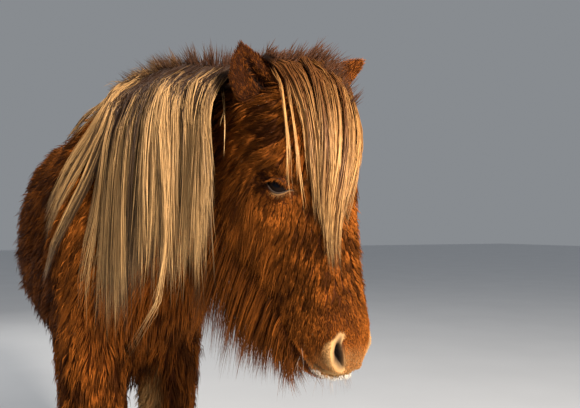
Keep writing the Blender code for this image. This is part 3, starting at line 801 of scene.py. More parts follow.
def coatPiece(name, where, kind, settings, seed):
    settings = coatDefaults | settings
    rng = np.random.default_rng(seed)
    count = settings["count"] // 1
    roots, normals = scatter(where & ~bareTriangles, count, settings["weight"](middles), seed)
    keep = (darkness(roots) < 0.1) & (roots[:, 2] > hoofTop)
    roots, normals = roots[keep], normals[keep]
    count = len(roots)
    flow = lieOfCoat(roots, normals)
    length = settings["length"](roots) * rng.uniform(0.70, 1.20, count)
    rise = coatDepth(roots) * settings["rise"] * rng.uniform(0.50, 1.10, count)
    rise = rise * np.where(rng.uniform(0, 1, count) < settings["wild"], 1.9, 1.0)
    rise = np.minimum(rise, length * 0.85)
    reach = np.sqrt(np.maximum(length ** 2 - rise ** 2, 1e-8))
    across = np.cross(normals, flow)
    flow = unit(flow + across * rng.normal(0, settings["stray"], count)[:, None])
    t = np.linspace(0, 1, settings["steps"])
    along = reach[:, None] * t[None]
    height = rise[:, None] * (2 * t - t ** 2)[None] - 0.0015 * (1 - t)[None]      # roots are under the skin
    paths = roots[:, None] + flow[:, None] * along[:, :, None] + normals[:, None] * height[:, :, None]
    paths[:, :, 2] -= settings["droop"] * length[:, None] * (t ** 2)[None]
    paths, leaders = clump(paths, settings["group"], settings["pull"], settings["stretch"], seed + 1)
    fat = settings["radius"] * settings["thick"](roots) * rng.uniform(0.7, 1.3, count)
    radii = fat[:, None] * np.interp(t, (0, 0.35, 1), (0.9, 1.0, 0.25))[None]
    own, shared = rng.uniform(0, 1, (2, count))
    shade = mix(own, shared[leaders], 0.80)     # a clump is of one shade
    shade = np.clip(0.5 + 1.7 * settings["even"] * (shade - 0.5), 0, 1)
    # the broad tone carries painted shade and light; less painted shade in the ear's opening and the
    # piece's dim of painted shade
    broad = np.clip(tone(roots) - 0.5 * earHollow(roots, normals) - settings["dim"], 0, 1)
    colours = np.stack([shade, broad, paleness(roots)], 1)
    made = strandMesh(name, paths, radii, normals, colours, unwrap(roots, kind), coatPatch)
    print(name, len(made.data.polygons), "faces")
    return made


down, back, left = headPlace(middles)
middleNormals = unit(skinNormals[triangles].sum(1))
onHead = headWeight(middles) > 0.5
onEar = earWeight(middles) > 0.45
onNeck = ~onHead & (neckWeight(middles) > 0.5)
onMuzzle = onHead & (down > 0.405)
onTrunk = ~onHead & ~onNeck & (middles[:, 2] > legTop)
onLegs = ~onHead & ~onNeck & (middles[:, 2] <= legTop)
shoulderEnd, rumpStart = 0.0, 0.46      # y along the trunk
skullSide = onHead & ~onMuzzle & ~onEar
inEar = earHollow(middles, middleNormals) > 0.25


# length of the coat by the way down the face, and by height on the body
faceLengths = ((0.0, 0.10, 0.22, 0.34, 0.42, 0.50), (0.038, 0.036, 0.032, 0.028, 0.018, 0.011))
bodyLengths = ((0.08, 0.20, 0.45, 0.66, 0.80), (0.026, 0.024, 0.032, 0.050, 0.058))
fringeLengths = {"jaw": 0.020, "temple": 0.012, "nostril": 0.0030, "mouth": 0.0040, "eye": 0.008,
                 "fetlock": 0.014, "elbow": 0.012}


def faceLength(points):
    down, back, left = headPlace(points)
    length = np.interp(down, *faceLengths)
    length = length * (1 - 0.35 * smooth(0.05, 0.02, back) * smooth(0.18, 0.24, down))
    length = length + fringeLengths["jaw"] * smooth(0.09, 0.22, back) * smooth(0.47, 0.34, down)
    length = length + fringeLengths["temple"] * smooth(0.040, 0.070, left) * smooth(0.26, 0.18, down)
    length = mix(length, fringeLengths["nostril"], smooth(0.020, 0.006, outsideOf(points, nostrilPath)))
    length = mix(length, fringeLengths["mouth"], smooth(0.010, 0.003, outsideOf(points, mouthPath)))
    return mix(length, fringeLengths["eye"], eyeNear(points))


def faceThick(points):
    return (faceLength(points) / 0.016) ** 0.45


def faceWeight(points):
    return 1 / faceThick(points) ** 1.3


def bodyLength(points):
    z = points[:, 2]
    length = np.interp(z, *bodyLengths) + fringeLengths["fetlock"] * smooth(0.25, 0.10, z)
    return length + fringeLengths["elbow"] * smooth(0.80, legTop, z) * smooth(0.60, legTop, z)


def bodyThick(points):
    return np.interp(points[:, 2], (0.30, 0.70), (0.75, 1.0))


def always(value):
    return lambda points: np.full(len(points), value)


def jowlWeight(points):
    down, back = headPlace(points)[:2]
    return smooth(0.07, 0.17, back) * smooth(0.10, 0.20, down) * smooth(0.44, 0.35, down) + 0.01


def offTheCrest(points):
    return 1.001 - crestNear(points)


# where each piece of the coat grows, the shape its map is laid round, and its settings
coats = {
    "coat_face_right": (skullSide & (left < 0), "head",
                        {"count": 30000, "length": faceLength, "thick": faceThick, "weight": faceWeight,
                         "radius": 0.00054, "group": 34, "pull": 0.80, "stretch": 4.5, "stray": 0.045,
                         "rise": 0.75, "wild": 0.02, "even": 0.85}),
    "coat_face_left": (skullSide & (left >= 0), "head",
                       {"count": 15000, "length": faceLength, "thick": faceThick, "weight": faceWeight,
                        "radius": 0.00068, "group": 20, "pull": 0.70, "stretch": 4.5, "stray": 0.07,
                        "rise": 1.15, "wild": 0.16}),
    # the jowl's dim is painted shade under the jaw
    "coat_jowl": (skullSide & (back > 0.06) & (down > 0.10), "head",
                  {"count": 7000, "length": always(0.074), "weight": jowlWeight, "radius": 0.00046,
                   "steps": 4, "droop": 0.26, "group": 7, "pull": 0.60, "stray": 0.20, "dim": 0.20}),
    "coat_muzzle": (onMuzzle, "head",
                    {"count": 14000, "length": faceLength, "radius": 0.00050, "group": 9, "pull": 0.50,
                     "stretch": 3.0, "weight": faceWeight, "even": 0.65}),
    "coat_ears": (onEar & ~inEar, "head",
                  {"count": 9000, "length": always(0.0085), "radius": 0.00042, "group": 5, "pull": 0.30,
                   "stretch": 1.5, "rise": 0.8, "stray": 0.15, "even": 0.6}),
    "ear_curls": (onEar & inEar, "head",
                  {"count": 190, "length": always(0.013), "radius": 0.0005, "group": 4, "pull": 0.5,
                   "rise": 2.4, "stray": 1.0, "steps": 5}),
    "coat_neck": (onNeck, "neck",
                  {"count": 14500, "length": always(0.058), "radius": 0.00130, "group": 12, "pull": 0.66,
                   "stretch": 3.5, "droop": 0.10, "weight": offTheCrest, "even": 0.8}),
    "coat_throat": (onNeck & (middleNormals[:, 2] < -0.05) & (middles[:, 1] < -0.42), "neck",
                    {"count": 1200, "length": always(0.100), "radius": 0.0012, "steps": 5, "rise": 1.2,
                     "droop": 0.30, "group": 7, "pull": 0.55, "stray": 0.15}),
    # the shoulder's dim is painted shade
    "coat_shoulder": (onTrunk & (middles[:, 1] < shoulderEnd), "trunk",
                      {"count": 21500, "length": bodyLength, "radius": 0.00110, "group": 16, "pull": 0.74,
                       "stretch": 3.5, "droop": 0.06, "even": 0.9, "dim": 0.10}),
    "coat_barrel": (onTrunk & (middles[:, 1] >= shoulderEnd) & (middles[:, 1] < rumpStart), "trunk",
                    {"count": 16500, "length": bodyLength, "radius": 0.00130, "group": 14, "pull": 0.70,
                     "stretch": 3.5, "wild": 0.14, "even": 0.8}),
    "coat_rump": (onTrunk & (middles[:, 1] >= rumpStart), "trunk",
                  {"count": 12500, "length": bodyLength, "radius": 0.00150, "group": 12, "pull": 0.66,
                   "stretch": 3.5, "even": 0.8}),
    # the forelegs' dim is painted shade
    "coat_forelegs": (onLegs & (middles[:, 1] < midLength), "leg",
                      {"count": 12500, "length": bodyLength, "radius": 0.00105, "thick": bodyThick,
                       "group": 12, "pull": 0.66, "stretch": 3.5, "dim": 0.10}),
    "coat_hindlegs": (onLegs & (middles[:, 1] >= midLength), "leg",
                      {"count": 9500, "length": bodyLength, "radius": 0.00115, "thick": bodyThick,
                       "group": 10, "pull": 0.60, "stretch": 3.0}),
}
coatPieces = [coatPiece(name, *choice, 100 + number * 7)
              for number, (name, choice) in enumerate(coats.items())]


# Long hair: a few guide locks fall over the body, and strands follow each

def resample(line, steps):
    line = np.array(line)
    old, new = np.linspace(0, 1, len(line)), np.linspace(0, 1, steps)
    return np.stack([np.interp(new, old, line[:, k]) for k in range(3)], 1)


def smoothed(line, rounds):
    for _ in range(rounds):
        line = [line[0]] + [(a + b * 2 + c) / 4 for a, b, c in zip(line, line[1:], line[2:])] + [line[-1]]
    return line


def discPoint(rng, hole=0.0):
    # a place spread evenly over a disc: its angle, and how far out it is
    return rng.uniform(0, 2 * math.pi), math.sqrt(rng.uniform(hole, 1))


wispsPerLock = 4
# wisp: how far the strands are drawn into wisps; loose: how far they stray from the lock
hairDefaults = {"wisp": 0.75, "shortest": 0.7, "loose": 0.2}
guideDefaults = {"full": 1, "pale": 0}


def hairPiece(name, guides, settings, seed):
    # strands about each guide: spread at the root, drawn into a few wisps toward the tip, gently waved
    settings = hairDefaults | settings
    rng = np.random.default_rng(seed)
    paths, shades, places, fats, hints = [], [], [], [], []
    t = np.linspace(0, 1, settings["steps"])
    gather = np.interp(t, (0, 0.25, 0.7, 1.0), settings["spread"])
    hold = settings["wisp"] * np.minimum(1, t * 1.8)
    amount = max(1, settings["each"] // (1))
    for guide in guides:
        guide = guideDefaults | guide
        line = resample(guide["line"], settings["steps"])
        ahead = unit(np.gradient(line, axis=0))
        side = unit(np.cross(ahead, np.array(guide["away"])[None]))
        lift = unit(np.cross(side, ahead))
        bend = rng.uniform(0, 6.3, 2)
        wisps = [(*discPoint(rng), rng.uniform(0, 1)) for _ in range(wispsPerLock)]
        for number in range(int(amount * guide["full"]) or 1):
            angle, out = discPoint(rng)
            turn, far, shade = wisps[number % wispsPerLock]
            reach = t * rng.uniform(settings["shortest"], 1.0)
            base = np.stack([np.interp(reach, t, line[:, k]) for k in range(3)], 1)
            lean = rng.normal(0, settings["loose"]) * 0.03 * t ** 2
            wave = np.sin(t * 5 + bend[0]) + 0.6 * np.sin(t * rng.uniform(4, 9) + bend[1])
            wave = settings["wave"] * wave * t
            across = mix(math.cos(angle) * out, math.cos(turn) * far, hold) * settings["width"] * gather
            high = mix(math.sin(angle) * out, math.sin(turn) * far, hold) * settings["depth"] * gather
            base += side * (across + lean + wave)[:, None] + lift * (high + 0.3 * wave)[:, None]
            paths.append(base)
            own, drift = rng.uniform(0, 1), rng.normal(0, 0.10)
            shades.append((mix(own, shade, 0.65), guide["tone"] + drift, guide["pale"]))
            places.append(guide["place"] + rng.uniform(-0.5, 0.5, 2) * guide["cell"])
            fats.append(settings["radius"] * rng.uniform(0.6, 1.35))
            hints.append(guide["away"])
    radii = np.array(fats)[:, None] * np.interp(t, (0, 0.1, 0.75, 1.0), (0.75, 1.0, 0.8, 0.15))[None]
    shades = np.array(shades)
    shades[:, 1] = np.clip(shades[:, 1], 0, 1)
    made = strandMesh(name, np.array(paths), radii, np.array(hints, float), shades,
                      np.clip(places, 0.01, 0.99), lockPatch)
    print(name, len(made.data.polygons), "faces")
    return made


def castDown(tree, place):
    # where a drop from above meets a surface, and the surface's direction there
    return tree.ray_cast(Vector((place.x, place.y, overhead)), Vector((0, 0, -1)))[:2]


def crestPoint(way, aside):
    # a point on the top of the neck, from the withers at 0 to the poll at 1
    along = (neckPoint(way + 0.01) - neckPoint(way - 0.01)).normalized()
    side = Vector((0, 0, 1)).cross(along).normalized()
    return castDown(skinTree, neckPoint(way) + side * aside)


maneTree = treeOf(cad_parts["mane"].data)
maneSettings = {
    "under": {"locks": 70, "each": 11, "steps": 8, "radius": 0.0011, "width": 0.013, "depth": 0.006,
              "spread": (0.9, 1.1, 0.9, 0.5), "wave": 0.003, "shortest": 0.6},
    "over": {"locks": 190, "each": 17, "steps": 9, "radius": 0.00060, "width": 0.0048, "depth": 0.006,
             "spread": (1.0, 1.0, 0.85, 0.38), "wave": 0.0035, "shortest": 0.52, "loose": 0.28},
    "bands": 60, "sweptParts": 9, "withersLocks": 16,
    "near": 0.95, "far": 0.40,      # from the poll to where the locks that are swept back begin
    "middle": (-0.918, -0.505),     # y halfway down, at the poll's end and at the other
    "tip": (-0.936, -0.495),
    "halfway": 1.12, "lower": 1.03,     # heights
    "tipHeight": ((0, 0.15, 0.33, 0.50, 0.62, 0.75, 1), (0.945, 0.89, 0.86, 0.875, 0.84, 0.775, 0.775)),
    # how many locks are bright and how many dark, by the way from the poll: painted light on the locks by
    # the poll, painted shade on those further along
    "bright": ((0, 0.12, 0.28, 0.55, 0.66, 0.80, 0.92), (0.85, 0.70, 0.40, 0.38, 0.38, 0.44, 0.50)),
    "dark": ((0, 0.12, 0.28, 0.55, 0.66, 0.80, 0.92), (0.06, 0.16, 0.44, 0.52, 0.54, 0.50, 0.46)),
}
# the three locks swept back over the shoulder: where on the crest each springs from, and its y and z
sweptLocks = (
    (0.24, 0.40, ((-0.465, 1.285), (-0.395, 1.262), (-0.345, 1.220), (-0.312, 1.147), (-0.262, 1.088),
                  (-0.190, 1.052))),
    (0.27, 0.44, ((-0.500, 1.290), (-0.445, 1.255), (-0.410, 1.213), (-0.385, 1.162), (-0.342, 1.097),
                  (-0.292, 1.037), (-0.232, 0.985))),
    (0.32, 0.50, ((-0.540, 1.280), (-0.495, 1.225), (-0.465, 1.175), (-0.443, 1.117), (-0.422, 1.064),
                  (-0.382, 1.010), (-0.292, 0.945), (-0.165, 0.880))),
)
# the lock that ends in a forward curl below the others: y and z where it hangs, then places along the curl
curlHang = ((-0.790, 1.15), (-0.812, 1.05), (-0.815, 0.99))
curlPlaces = ((-0.069, -0.814, 0.954), (-0.061, -0.820, 0.905), (-0.069, -0.812, 0.868),
              (-0.090, -0.792, 0.836), (-0.113, -0.772, 0.806), (-0.140, -0.750, 0.770))
# one thin strand by the cheek, in the head's directions
thinStrand = ((-0.019, 0.190, -0.066), (0.041, 0.163, -0.096), (0.100, 0.156, -0.105),
              (0.174, 0.154, -0.108))
maneAway = (-1, -0.3, 0.2)      # the way the mane faces
rootsAside = (-0.024, 0.018)    # how far to the sides of the crest its hair grows


def maneSide(y, z, layer, last):
    # x of a hair on the right side at y and z, from the skin at layer 0 to the outside of the mane at 1
    ray = Vector((-1.5, y, z)), Vector((1, 0, 0))
    outer, inner = maneTree.ray_cast(*ray)[0], skinTree.ray_cast(*ray)[0]
    if outer is None:
        return last if inner is None else min(last + 0.006, inner.x - 0.006 - 0.014 * layer)
    near = outer.x + 0.045 if inner is None else min(inner.x - 0.004, outer.x + 0.045)
    return min(last + 0.006, mix(near, outer.x, layer))


def hangingLine(root, heading, places, layer):
    # a lock that rises to the top of the mane, turns over to the right and passes the given y and z
    top = castDown(maneTree, root)[0]
    rise = mix(0.35, 0.85, layer) * (min(max(top.z - root.z, 0.018), 0.075) if top else 0.018)
    peak = root + Vector((heading.x * 0.5, heading.y * 0.7, 1)) * rise
    line = [root, mix(root, peak, 0.55), peak]
    last = peak.x
    ys, zs = [peak.y] + [y for y, z in places], [peak.z - 0.002] + [z for y, z in places]
    reach = np.concatenate([[0], np.cumsum(np.hypot(np.diff(ys), np.diff(zs)))])
    for far in np.linspace(0.014, reach[-1], 16):
        y, z = float(np.interp(far, reach, ys)), float(np.interp(far, reach, zs))
        last = maneSide(y, z, layer, last)
        line.append(Vector((last, y, z)))
    return smoothed(line, 2)


def streak(rng, bright=0.5, dark=0.3):
    # shade of a lock: bright, dark or between
    pick = rng.uniform(0, 1)
    if pick < bright:
        return rng.uniform(0.72, 1.0)
    return rng.uniform(0.0, 0.22) if pick < bright + dark else rng.uniform(0.35, 0.65)


def maneHeading(rng):
    return Vector((rng.uniform(-0.9, -0.2), rng.normal(0, 0.25), rng.uniform(0.6, 1.3))).normalized()


def maneGuides(layer, rng):
    guides = []
    number, bands = maneSettings[layer]["locks"], maneSettings["bands"]
    halfway, lower = maneSettings["halfway"], maneSettings["lower"]
    drifts = rng.normal(0, 1, (bands, 2))
    bandTones = []
    for band in range(bands):
        way = (band + 0.5) / bands
        bright, dark = (float(np.interp(way, *maneSettings[key])) for key in ("bright", "dark"))
        bandTones.append(streak(rng, bright, dark))
    for lock in range(number):
        share = (lock + rng.uniform(0.1, 0.9)) / number
        if layer == "under":
            share = mix(0.13, 1.0, share)
        band = min(int(share * bands), bands - 1)
        way = mix(maneSettings["near"], maneSettings["far"], share)
        root = crestPoint(way, rng.uniform(*rootsAside))[0]
        middle = mix(*maneSettings["middle"], share) + rng.normal(0, 0.0022) + 0.006 * drifts[band, 0]
        tip = mix(*maneSettings["tip"], share) + rng.normal(0, 0.0035) + 0.011 * drifts[band, 1]
        tipHeight = float(np.interp(share, *maneSettings["tipHeight"])) + min(0.20, rng.exponential(0.045))
        places = ((mix(root.y, middle, 0.45), mix(root.z, halfway, 0.30)),
                  (mix(root.y, middle, 0.85), mix(root.z, halfway, 0.62)),
                  (middle, halfway), (mix(middle, tip, 0.4), lower), (tip, tipHeight))
        # the under layer's locks are dark: painted shade between and beneath the outer locks
        if layer == "under":
            tone, depth = rng.uniform(0.0, 0.28), rng.uniform(0.05, 0.42)
        else:
            tone = mix(bandTones[band], rng.uniform(0.1, 0.9), 0.15)
            depth = rng.uniform(0.58, 0.85) + 0.18 * tone + float(smooth(0.12, 0.0, share)) * 0.25
        line = hangingLine(root, maneHeading(rng), places, depth)
        # how far down the brown of the roots reaches: the roots' own brown, longer toward the poll where it
        # is partly painted shade, and painted shade in the middle of the mane
        late = rng.uniform(0.15, 1.0) + float(smooth(0.50, 0.20, share)) * rng.uniform(0.0, 0.9)
        late += float(smooth(0.50, 0.60, share) * smooth(0.96, 0.88, share)) * rng.uniform(0.2, 1.2)
        guides.append({"line": line, "away": maneAway, "tone": tone, "pale": late,
                       "full": rng.uniform(0.5, 1.5), "place": np.array((0.04 + 0.7 * share, 0.5)),
                       "cell": np.array((0.7 / number, 0.9))})
    return guides


def sweptGuides(rng):
    guides = []
    for number, (low, high, places) in enumerate(sweptLocks):
        for _ in range(maneSettings["sweptParts"]):
            aside = rng.uniform(-1, 1)
            root = crestPoint(rng.uniform(low, high), rng.uniform(*rootsAside))[0]
            spread = [0.030 * aside * (1 - k / (len(places) - 1)) ** 0.8 for k in range(len(places))]
            moved = [(y + off * 0.8, z + off * 0.7) for (y, z), off in zip(places, spread)]
            line = hangingLine(root, maneHeading(rng), moved, rng.uniform(0.75, 1.0))
            guides.append({"line": line, "away": maneAway, "tone": streak(rng, 0.62, 0.30),
                           "pale": rng.uniform(0.2, 0.9), "full": rng.uniform(0.7, 1.5),
                           "place": np.array((0.78 + 0.05 * number, 0.5)), "cell": np.array((0.05, 0.9))})
    for _ in range(maneSettings["withersLocks"]):
        root = crestPoint(rng.uniform(0.02, 0.34), rng.uniform(*rootsAside))[0]
        fallBack, drop = rng.uniform(0.02, 0.09), rng.uniform(0.05, 0.13)
        places = ((root.y + fallBack * 0.4, root.z - drop * 0.4), (root.y + fallBack, root.z - drop))
        line = hangingLine(root, maneHeading(rng), places, 0.8)
        guides.append({"line": line, "away": maneAway, "tone": streak(rng, 0.3, 0.4), "pale": 0.5,
                       "full": 0.8, "place": np.array((0.95, 0.5)), "cell": np.array((0.04, 0.9))})
    return guides


# how much hair the thin strand, the curl and each lock of the spray have, beside a common lock
strays = {"strand": 0.2, "curl": 1.5, "spray": 0.35, "sprayLocks": 20}


def strayGuides(rng):
    # the thin strand, the curl, and a spray blown back over the withers
    guides = [{"line": [headPoint(*place) for place in thinStrand], "tone": 0.95, "full": strays["strand"]}]
    line = hangingLine(crestPoint(0.74, -0.01)[0], maneHeading(rng), curlHang, 1.0)
    line += [Vector(place) for place in curlPlaces]
    line = smoothed([Vector(place) for place in resample(line, 40)], 14)
    for aside, tone in ((-0.005, 0.95), (0.0, 0.5), (0.006, 0.9)):
        beside = [place + Vector((0.4, 0.9, 0)) * aside for place in line]
        guides.append({"line": beside, "tone": tone, "full": strays["curl"], "pale": 0.5})
    for _ in range(strays["sprayLocks"]):
        root = crestPoint(rng.uniform(0.24, 0.54), rng.uniform(-0.02, 0.0))[0]
        ahead = Vector((-0.80, 0.50, rng.uniform(0.05, 0.50))).normalized() * rng.uniform(0.06, 0.14)
        line = []
        for step in range(6):
            arch = 0.02 * math.sin(math.pi * step / 5) - 0.012 * (step / 5) ** 2
            line.append(root + ahead * step / 5 + Vector((0, 0, arch)))
        guides.append({"line": line, "tone": rng.uniform(0.5, 0.9), "full": strays["spray"], "pale": 0.2})
    for guide in guides:
        guide |= {"away": maneAway, "place": np.array((0.015, 0.5)), "cell": np.array((0.02, 0.9))}
    return guides


maneRng = np.random.default_rng(31)
maneUnder = hairPiece("mane_under", maneGuides("under", maneRng), maneSettings["under"], 41)
maneOver = hairPiece("mane_over", maneGuides("over", maneRng) + sweptGuides(maneRng) + strayGuides(maneRng),
                     maneSettings["over"], 42)


forelockSettings = {"locks": 112, "each": 20, "steps": 9, "radius": 0.00064, "width": 0.0048,
                    "depth": 0.0050, "spread": (0.9, 1.0, 0.8, 0.25), "wave": 0.0028, "top": -0.048,
                    "longest": 0.415, "shortest": 0.66, "thickness": (0.010, 0.050)}
# how far to the left the forelock's right and left edges lie, by the way down the face
forelockEdges = ((-0.03, 0.03, 0.08, 0.136, 0.186, 0.236, 0.278, 0.321, 0.355, 0.380),
                 (-0.066, -0.068, -0.073, -0.077, -0.079, -0.080, -0.079, -0.074, -0.068, -0.064),
                 (0.096, 0.090, 0.078, 0.060, 0.036, 0.006, -0.022, -0.044, -0.057, -0.060))
# two thin strands that hang clear of it past the eye: down, back, left
eyeStrands = (
    ((-0.027, 0.075, -0.052), (0.006, 0.052, -0.067), (0.026, 0.040, -0.069), (0.078, 0.031, -0.080),
     (0.124, 0.026, -0.088), (0.159, 0.024, -0.095), (0.189, 0.027, -0.098), (0.224, 0.036, -0.091),
     (0.262, 0.040, -0.082)),
    ((0.010, 0.036, -0.060), (0.050, 0.030, -0.068), (0.092, 0.021, -0.076), (0.152, 0.015, -0.083),
     (0.202, 0.017, -0.083), (0.240, 0.021, -0.079), (0.272, 0.025, -0.075)),
)


def forelockLine(share, thick, reach, drift):
    line = []
    for step in range(12):
        way = step / 11
        down = forelockSettings["top"] + (reach + 0.010) * way
        right, left = (float(np.interp(down, forelockEdges[0], row)) for row in forelockEdges[1:])
        above = headPoint(down, -0.02 + 0.075 * (1 - way) ** 3, mix(right, left, share) + drift * way)
        surface, normal = skinTree.find_nearest(above)[:2]
        stand = thick * mix(1.15, 0.35, way) * min(1, way * 6 + 0.20)
        stand = stand * mix(0.25, 1, float(smooth(0.0, 0.26, share)))       # flatter at its edge by the eye
        line.append(surface + normal * (0.003 + stand))
    return line


def forelockGuides(number, rng):
    guides = []
    for lock in range(number):
        share = (lock + rng.uniform(0.1, 0.9)) / number
        middle = math.sin(math.pi * mix(0.16, 0.86, share)) ** 1.2
        length = forelockSettings["longest"] * mix(0.62, 1.0, middle)
        deep = rng.uniform(0, 1)
        thick = mix(*forelockSettings["thickness"], deep)
        line = forelockLine(share, thick, length * rng.uniform(0.76, 1.03), rng.normal(0, 0.005))
        guides.append({"line": line, "tone": streak(rng, 0.26 + 0.24 * deep, 0.40 - 0.14 * deep),
                       "pale": rng.uniform(0.1, 0.8), "full": rng.uniform(0.6, 1.4),
                       "place": np.array((0.04 + 0.94 * share, 0.5)),
                       "cell": np.array((0.94 / number, 0.95))})
    for places, full in zip(eyeStrands, (0.40, 0.55)):
        guides.append({"line": [headPoint(*place) for place in places], "tone": 0.95, "full": full,
                       "place": np.array((0.02, 0.5)), "cell": np.array((0.02, 0.95))})
    for guide in guides:
        guide["away"] = tuple(-headBack)
    return guides


forelock = hairPiece("forelock_hair", forelockGuides(forelockSettings["locks"], np.random.default_rng(51)),
                     forelockSettings, 52)


# height, behind the buttocks, half width and half depth of the tail
tailSections = ((1.215, -0.045, 0.026, 0.020), (1.20, 0.005, 0.046, 0.036), (1.12, 0.052, 0.066, 0.050),
                (0.98, 0.080, 0.084, 0.060), (0.80, 0.090, 0.098, 0.064), (0.60, 0.090, 0.100, 0.062),
                (0.42, 0.088, 0.086, 0.052), (0.28, 0.082, 0.054, 0.036), (0.20, 0.078, 0.020, 0.014))
tailSettings = {"locks": 96, "each": 13, "steps": 8, "radius": 0.0014, "width": 0.012, "depth": 0.010,
                "spread": (0.6, 1.0, 1.0, 0.4), "wave": 0.006, "shortest": 0.7}


def tailGuides(number, rng):
    guides = []
    rows = np.array(tailSections)
    for lock in range(number):
        angle, out = discPoint(rng, 0.05)
        start, end = rng.uniform(0, 0.15), rng.uniform(0.66, 1.0)
        bend = rng.uniform(0, 6.3)
        line = []
        for step in range(14):
            way = mix(start, end, step / 13) * (len(rows) - 1)
            z, y, wide, deep = (np.interp(way, np.arange(len(rows)), rows[:, k]) for k in range(4))
            twist = angle + 0.30 * math.sin(step * 0.35 + bend)
            x = bodyMiddle + math.cos(twist) * out * wide * 0.93
            line.append(Vector((x, rumpY + y + math.sin(twist) * out * deep * 0.93, z)))
        guides.append({"line": line, "away": (math.cos(angle), math.sin(angle), 0),
                       "tone": rng.uniform(0.05, 0.9), "full": rng.uniform(0.6, 1.4),
                       "place": np.array(((lock + 0.5) / number, 0.5)),
                       "cell": np.array((1 / number, 0.95))})
    return guides


tail = hairPiece("tail_hair", tailGuides(tailSettings["locks"], np.random.default_rng(61)),
                 tailSettings, 62)


beardSettings = {"locks": 400, "each": 15, "steps": 5, "radius": 0.00060, "width": 0.012, "depth": 0.010,
                 "spread": (1.0, 1.1, 1.0, 0.50), "wave": 0.003, "shortest": 0.55, "wisp": 0.45,
                 "longest": 0.250, "chin": 0.090, "lean": 0.080, "rightShare": 0.62}


def beardRoot(down, across, along, onSide, rng):
    # on the back edge of the jaw, or on its side to hide that edge
    if not onSide:
        return *skinTree.ray_cast(headPoint(down, 0.45, across), -headBack)[:2], across
    side = rng.choice((-1, 1), p=(beardSettings["rightShare"], 1 - beardSettings["rightShare"]))
    inward = mix(0.215, 0.122, along ** 0.9) - rng.uniform(0.0, 0.022)
    hit, normal = skinTree.ray_cast(headPoint(down, inward, side * 0.2), headLeft * -side)[:2]
    return hit, normal, side * 0.058


def beardGuides(number, rng):
    # hangs from the jaw, from the throat to the chin
    guides = []
    for lock in range(number):
        onSide = lock % 3 == 0
        share = mix(-0.22, 1.12, (lock + 0.5) / number)
        along = min(max(share, 0), 1)
        down, across = mix(0.235, 0.458, share), rng.uniform(-0.050, 0.044) * mix(1, 0.55, along)
        hit, normal, across = beardRoot(down, across, along, onSide, rng)
        if hit is None or darkness(np.array([hit]))[0] > 0.4:
            continue
        length = mix(beardSettings["longest"], beardSettings["chin"], along ** 1.7) * rng.uniform(0.66, 1.0)
        lean = beardSettings["lean"] * (1 - along) ** 0.8 + rng.normal(0, 0.008)
        below = headPoint(down, mix(0.245, 0.110, along ** 0.9), across * 1.15)
        tip = below + Vector((0, 0, -length)) + headBack * lean
        bend = hit + (normal * 0.35 + headDown * 0.4 + headBack * 0.3) * length * 0.30
        line = [mix(mix(hit - normal * 0.002, bend, k / 7), mix(bend, tip, k / 7), k / 7) for k in range(8)]
        place = np.array((mix(0.05, 0.95, (lock + 0.5) / number), 0.5 + across * 8))
        # the beard's dark tones are partly painted shade under the head
        guides.append({"line": line, "away": tuple(headBack),
                       "tone": rng.uniform(0.0, 0.24 if onSide else 0.36), "full": rng.uniform(0.6, 1.4),
                       "place": place, "cell": np.array((1 / number, 0.3))})
    return guides


beard = hairPiece("beard_hair", beardGuides(beardSettings["locks"], np.random.default_rng(71)),
                  beardSettings, 72)


bristleSettings = {"locks": 640, "each": 8, "steps": 4, "radius": 0.00092, "width": 0.007, "depth": 0.007,
                   "spread": (1.0, 1.0, 0.7, 0.35), "wave": 0.001, "shortest": 0.6, "crestShare": 0.74}
# longer or shorter by the place between the ears, and swung from side to side along the crest
tuftLengths = ((-0.058, -0.03, 0.0, 0.06), (0.60, 0.85, 1.40, 1.25))
crestSwing = ((0.1, 0.35, 0.6, 0.8, 1.0), (-1.2, -1.1, -0.4, 0.15, 0.45))


def bristleGuides(number, rng):
    # short dark hair standing along the crest and between the ears
    guides = []
    for lock in range(number):
        between = lock > number * bristleSettings["crestShare"]
        if between:
            place = headPoint(-0.02, rng.uniform(-0.005, 0.10), rng.uniform(-0.058, 0.060))
            root, normal = castDown(skinTree, place)
            across = headPlace(np.array([place]))[2][0]
            length = rng.uniform(0.050, 0.085) * np.interp(across, *tuftLengths)
            lean = facing * rng.uniform(0.0, 0.5) + Vector((0.50, -0.15, 1.0))
            spot = np.array((0.95, 0.5))
        else:
            way, aside = rng.uniform(0.08, 1.02), rng.uniform(-0.028, 0.024)
            root, normal = crestPoint(way, aside)
            top = castDown(maneTree, root)[0]
            length = 0.030 + (min(max(top.z - root.z, 0.02), 0.07) if top else 0.02) * rng.uniform(0.8, 1.3)
            swing = float(np.interp(way, *crestSwing)) + rng.normal(0, 0.22)
            lean = Vector((0.9 * swing, -0.42 * swing + rng.normal(0, 0.15), 1.0))
            spot = np.array((way * 0.85, 0.5 + aside * 14))
        if root is None:
            continue
        lean = (lean + Vector((rng.normal(0, 0.12), rng.normal(0, 0.12), 0))).normalized()
        sag = Vector((-0.06, 0, -0.16)) * length
        line = [root - normal * 0.002 + lean * length * k / 4 + sag * (k / 4) ** 2 for k in range(5)]
        guides.append({"line": line, "away": (-0.3, -1, 0.1), "tone": rng.uniform(0.0, 0.55),
                       "pale": 0 if between else float(smooth(0.75, 0.40, way)) * rng.uniform(0, 1),
                       "place": spot, "cell": np.array((0.05, 0.4))})
    return guides


bristles = hairPiece("mane_crest", bristleGuides(bristleSettings["locks"], np.random.default_rng(81)),
                     bristleSettings, 82)


